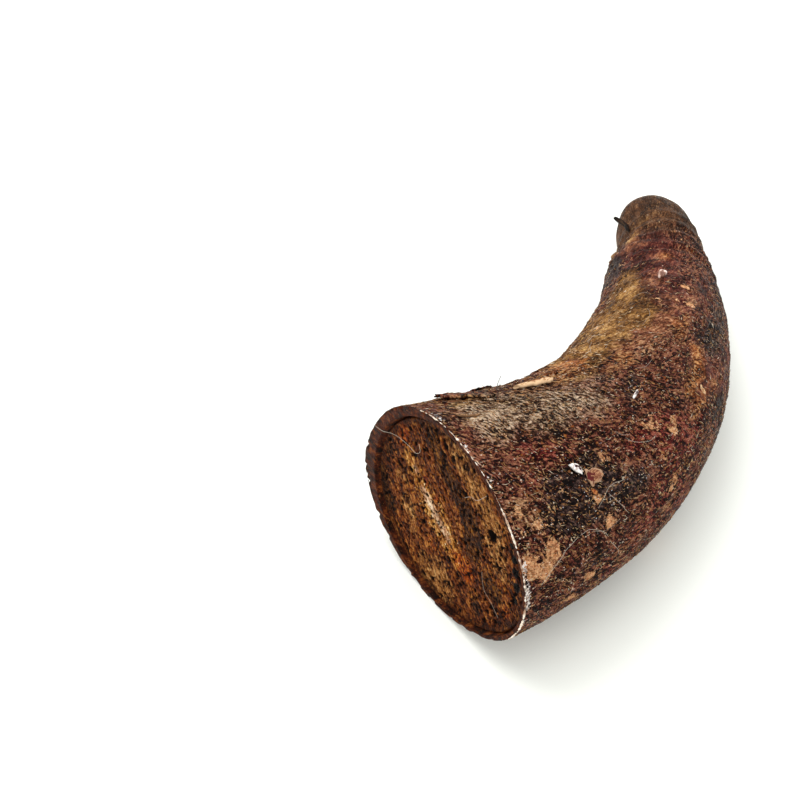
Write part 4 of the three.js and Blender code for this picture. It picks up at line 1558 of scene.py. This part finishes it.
def chip_material(name, dark, middle, light, rim, stain, stain_side, rough):
    """A chip of dried skin or bone: its own colour, a rim along its edge that is painted highlight where it
    is paler, and a stain on one side.
    """
    r = Recipe(name)
    chip = r.vector("chip")
    field = r.patches(r.vector("straight"), (0.0004, 0.0011, 0.0004), detail=5.0, rough=0.7)
    colour = r.ramp(field, ((0.38, dark), (0.49, middle), (0.6, light)))
    torn = r.swing(r.patches(chip, 0.3, detail=4.0), 1.2)
    over = r.add("ShaderNodeVectorMath", {0: chip, 1: stain_side}, "Value", operation="DOT_PRODUCT")
    colour = r.mix(r.between(r.plus(over, torn), 0.06, 0.14), colour, shade(stain))
    # The rim along the edge, which is painted highlight where its colour is paler than the chip
    apart = r.add("ShaderNodeVectorMath", {0: chip, 1: (0.75, 1, 0)}, operation="MULTIPLY")
    outer = r.add("ShaderNodeVectorMath", {0: apart}, "Value", operation="LENGTH")
    colour = r.mix(r.between(r.plus(outer, r.times(torn, 0.6)), 0.36, 0.44), colour, shade(rim))
    normal = r.bump(field, 0.0004, 0.8)
    return r.finish(Base_Color=colour, Roughness=rough, Normal=normal, Specular_IOR_Level=0.15)


def bead_material():
    r = Recipe("dried fat")
    field = r.patches(r.vector("straight"), 0.0012, detail=3.0)
    colour = r.ramp(field, ((0.38, "#7c5242"), (0.47, "#c9a08c"), (0.56, "#f6e8de")))
    return r.finish(Base_Color=colour, Roughness=0.25)


def burr_material():
    """Pale shreds of horn, stained brown in parts."""
    r = Recipe("saw burr")
    place = r.vector("straight")
    field = r.patches(place, 0.0008, detail=4.0, rough=0.6)
    colour = r.ramp(field, ((0.3, "#9c7a5c"), (0.47, "#dfccb6"), (0.65, "#faf4ea")))
    stained = r.patches(place, 0.003, detail=3.0, shift=(2, 0, 0))
    colour = r.mix(r.between(stained, 0.5, 0.6, 0.0, 0.75), colour, shade("#8a5c38"))
    return r.finish(Base_Color=colour, Roughness=0.55, Specular_IOR_Level=0.1)


def floor_material():
    r = Recipe("pale floor")
    glow = {"Emission_Color": (0.96, 1.0, 0.93, 1), "Emission_Strength": 0.14}
    return r.finish(Base_Color=(0.86, 0.88, 0.83, 1), Roughness=0.6, **glow)


FLOOR_SIZE = 3


def floor():
    bm = bmesh.new()
    bmesh.ops.create_grid(bm, x_segments=1, y_segments=1, size=FLOOR_SIZE)
    piece = finished_mesh("floor", bm)
    piece.data.materials.append(floor_material())


# The camera, at the photograph's distance and angle, in the 800 by 800 frame
CAMERA_AIM = Vector((-0.04086, -0.01729, 0.0279))
CAMERA_DISTANCE = 0.4836
CAMERA_ELEVATION = math.radians(43)
LENS = 85
SENSOR_WIDTH = 36

# The soft lights: place, what it is aimed at, width and power
SOFTBOXES = {
    "key": ((-0.46, 0.48, 1.0), (0, 0, 0), 1.2, 8.5),
    "overhead": ((0.1, -0.1, 1.3), (0, 0, 0), 1.5, 5.5),
    "front": ((-0.7, -0.9, 0.5), (0, 0, 0.02), 0.8, 3),
}
ROOM_LIGHT = 0.85


def camera():
    data = bpy.data.cameras.new("camera")
    data.lens = LENS
    data.sensor_width = SENSOR_WIDTH
    data.clip_start = 0.01
    cam = bpy.data.objects.new("camera", data)
    bpy.context.scene.collection.objects.link(cam)
    back = Vector((0, -math.cos(CAMERA_ELEVATION), math.sin(CAMERA_ELEVATION)))
    cam.location = CAMERA_AIM + back * CAMERA_DISTANCE
    cam.rotation_euler = (math.pi / 2 - CAMERA_ELEVATION, 0, 0)
    bpy.context.scene.camera = cam


def softbox(name, place, aim, width, power):
    data = bpy.data.lights.new(name, "AREA")
    data.shape = "DISK"
    data.size = width
    data.energy = power
    light = bpy.data.objects.new(name, data)
    light.location = place
    light.rotation_euler = (Vector(aim) - Vector(place)).to_track_quat("-Z", "Y").to_euler()
    bpy.context.scene.collection.objects.link(light)


def lights():
    for name, light in SOFTBOXES.items():
        softbox(name, *light)
    world = bpy.data.worlds.new("studio")
    world.use_nodes = True
    background = world.node_tree.nodes["Background"]
    background.inputs["Color"].default_value = (1, 1, 1, 1)
    background.inputs["Strength"].default_value = ROOM_LIGHT
    bpy.context.scene.world = world
    bpy.context.scene.view_settings.view_transform = "Standard"


def build():
    camera()
    lights()
    floor()
    sheath, outness = make_sheath()
    sawn_faces(sheath, outness)
    bark = sheath_material()
    dress(sheath, "horn", bark, sawn_horn_material())
    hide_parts("horn_sheath")

    core = dress(make_core(), "bone", bone_material())
    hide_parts("bone_core")

    dress(make_fibres(), "horn", fibre_material())
    hair = hair_material()
    dress(make_hairs(), "horn", hair)
    dress(make_face_hairs(), "bone", hair)

    looks = {name: chip_material(*look) for name, look in CHIP_LOOKS.items()}
    looks["bark"] = bark
    for name, (*place, look) in CHIPS.items():
        dress(make_chip(name, *place), "horn", looks[look])
    dress(make_bead(), "horn", bead_material())
    dress(make_burr(), "horn", burr_material())


build()
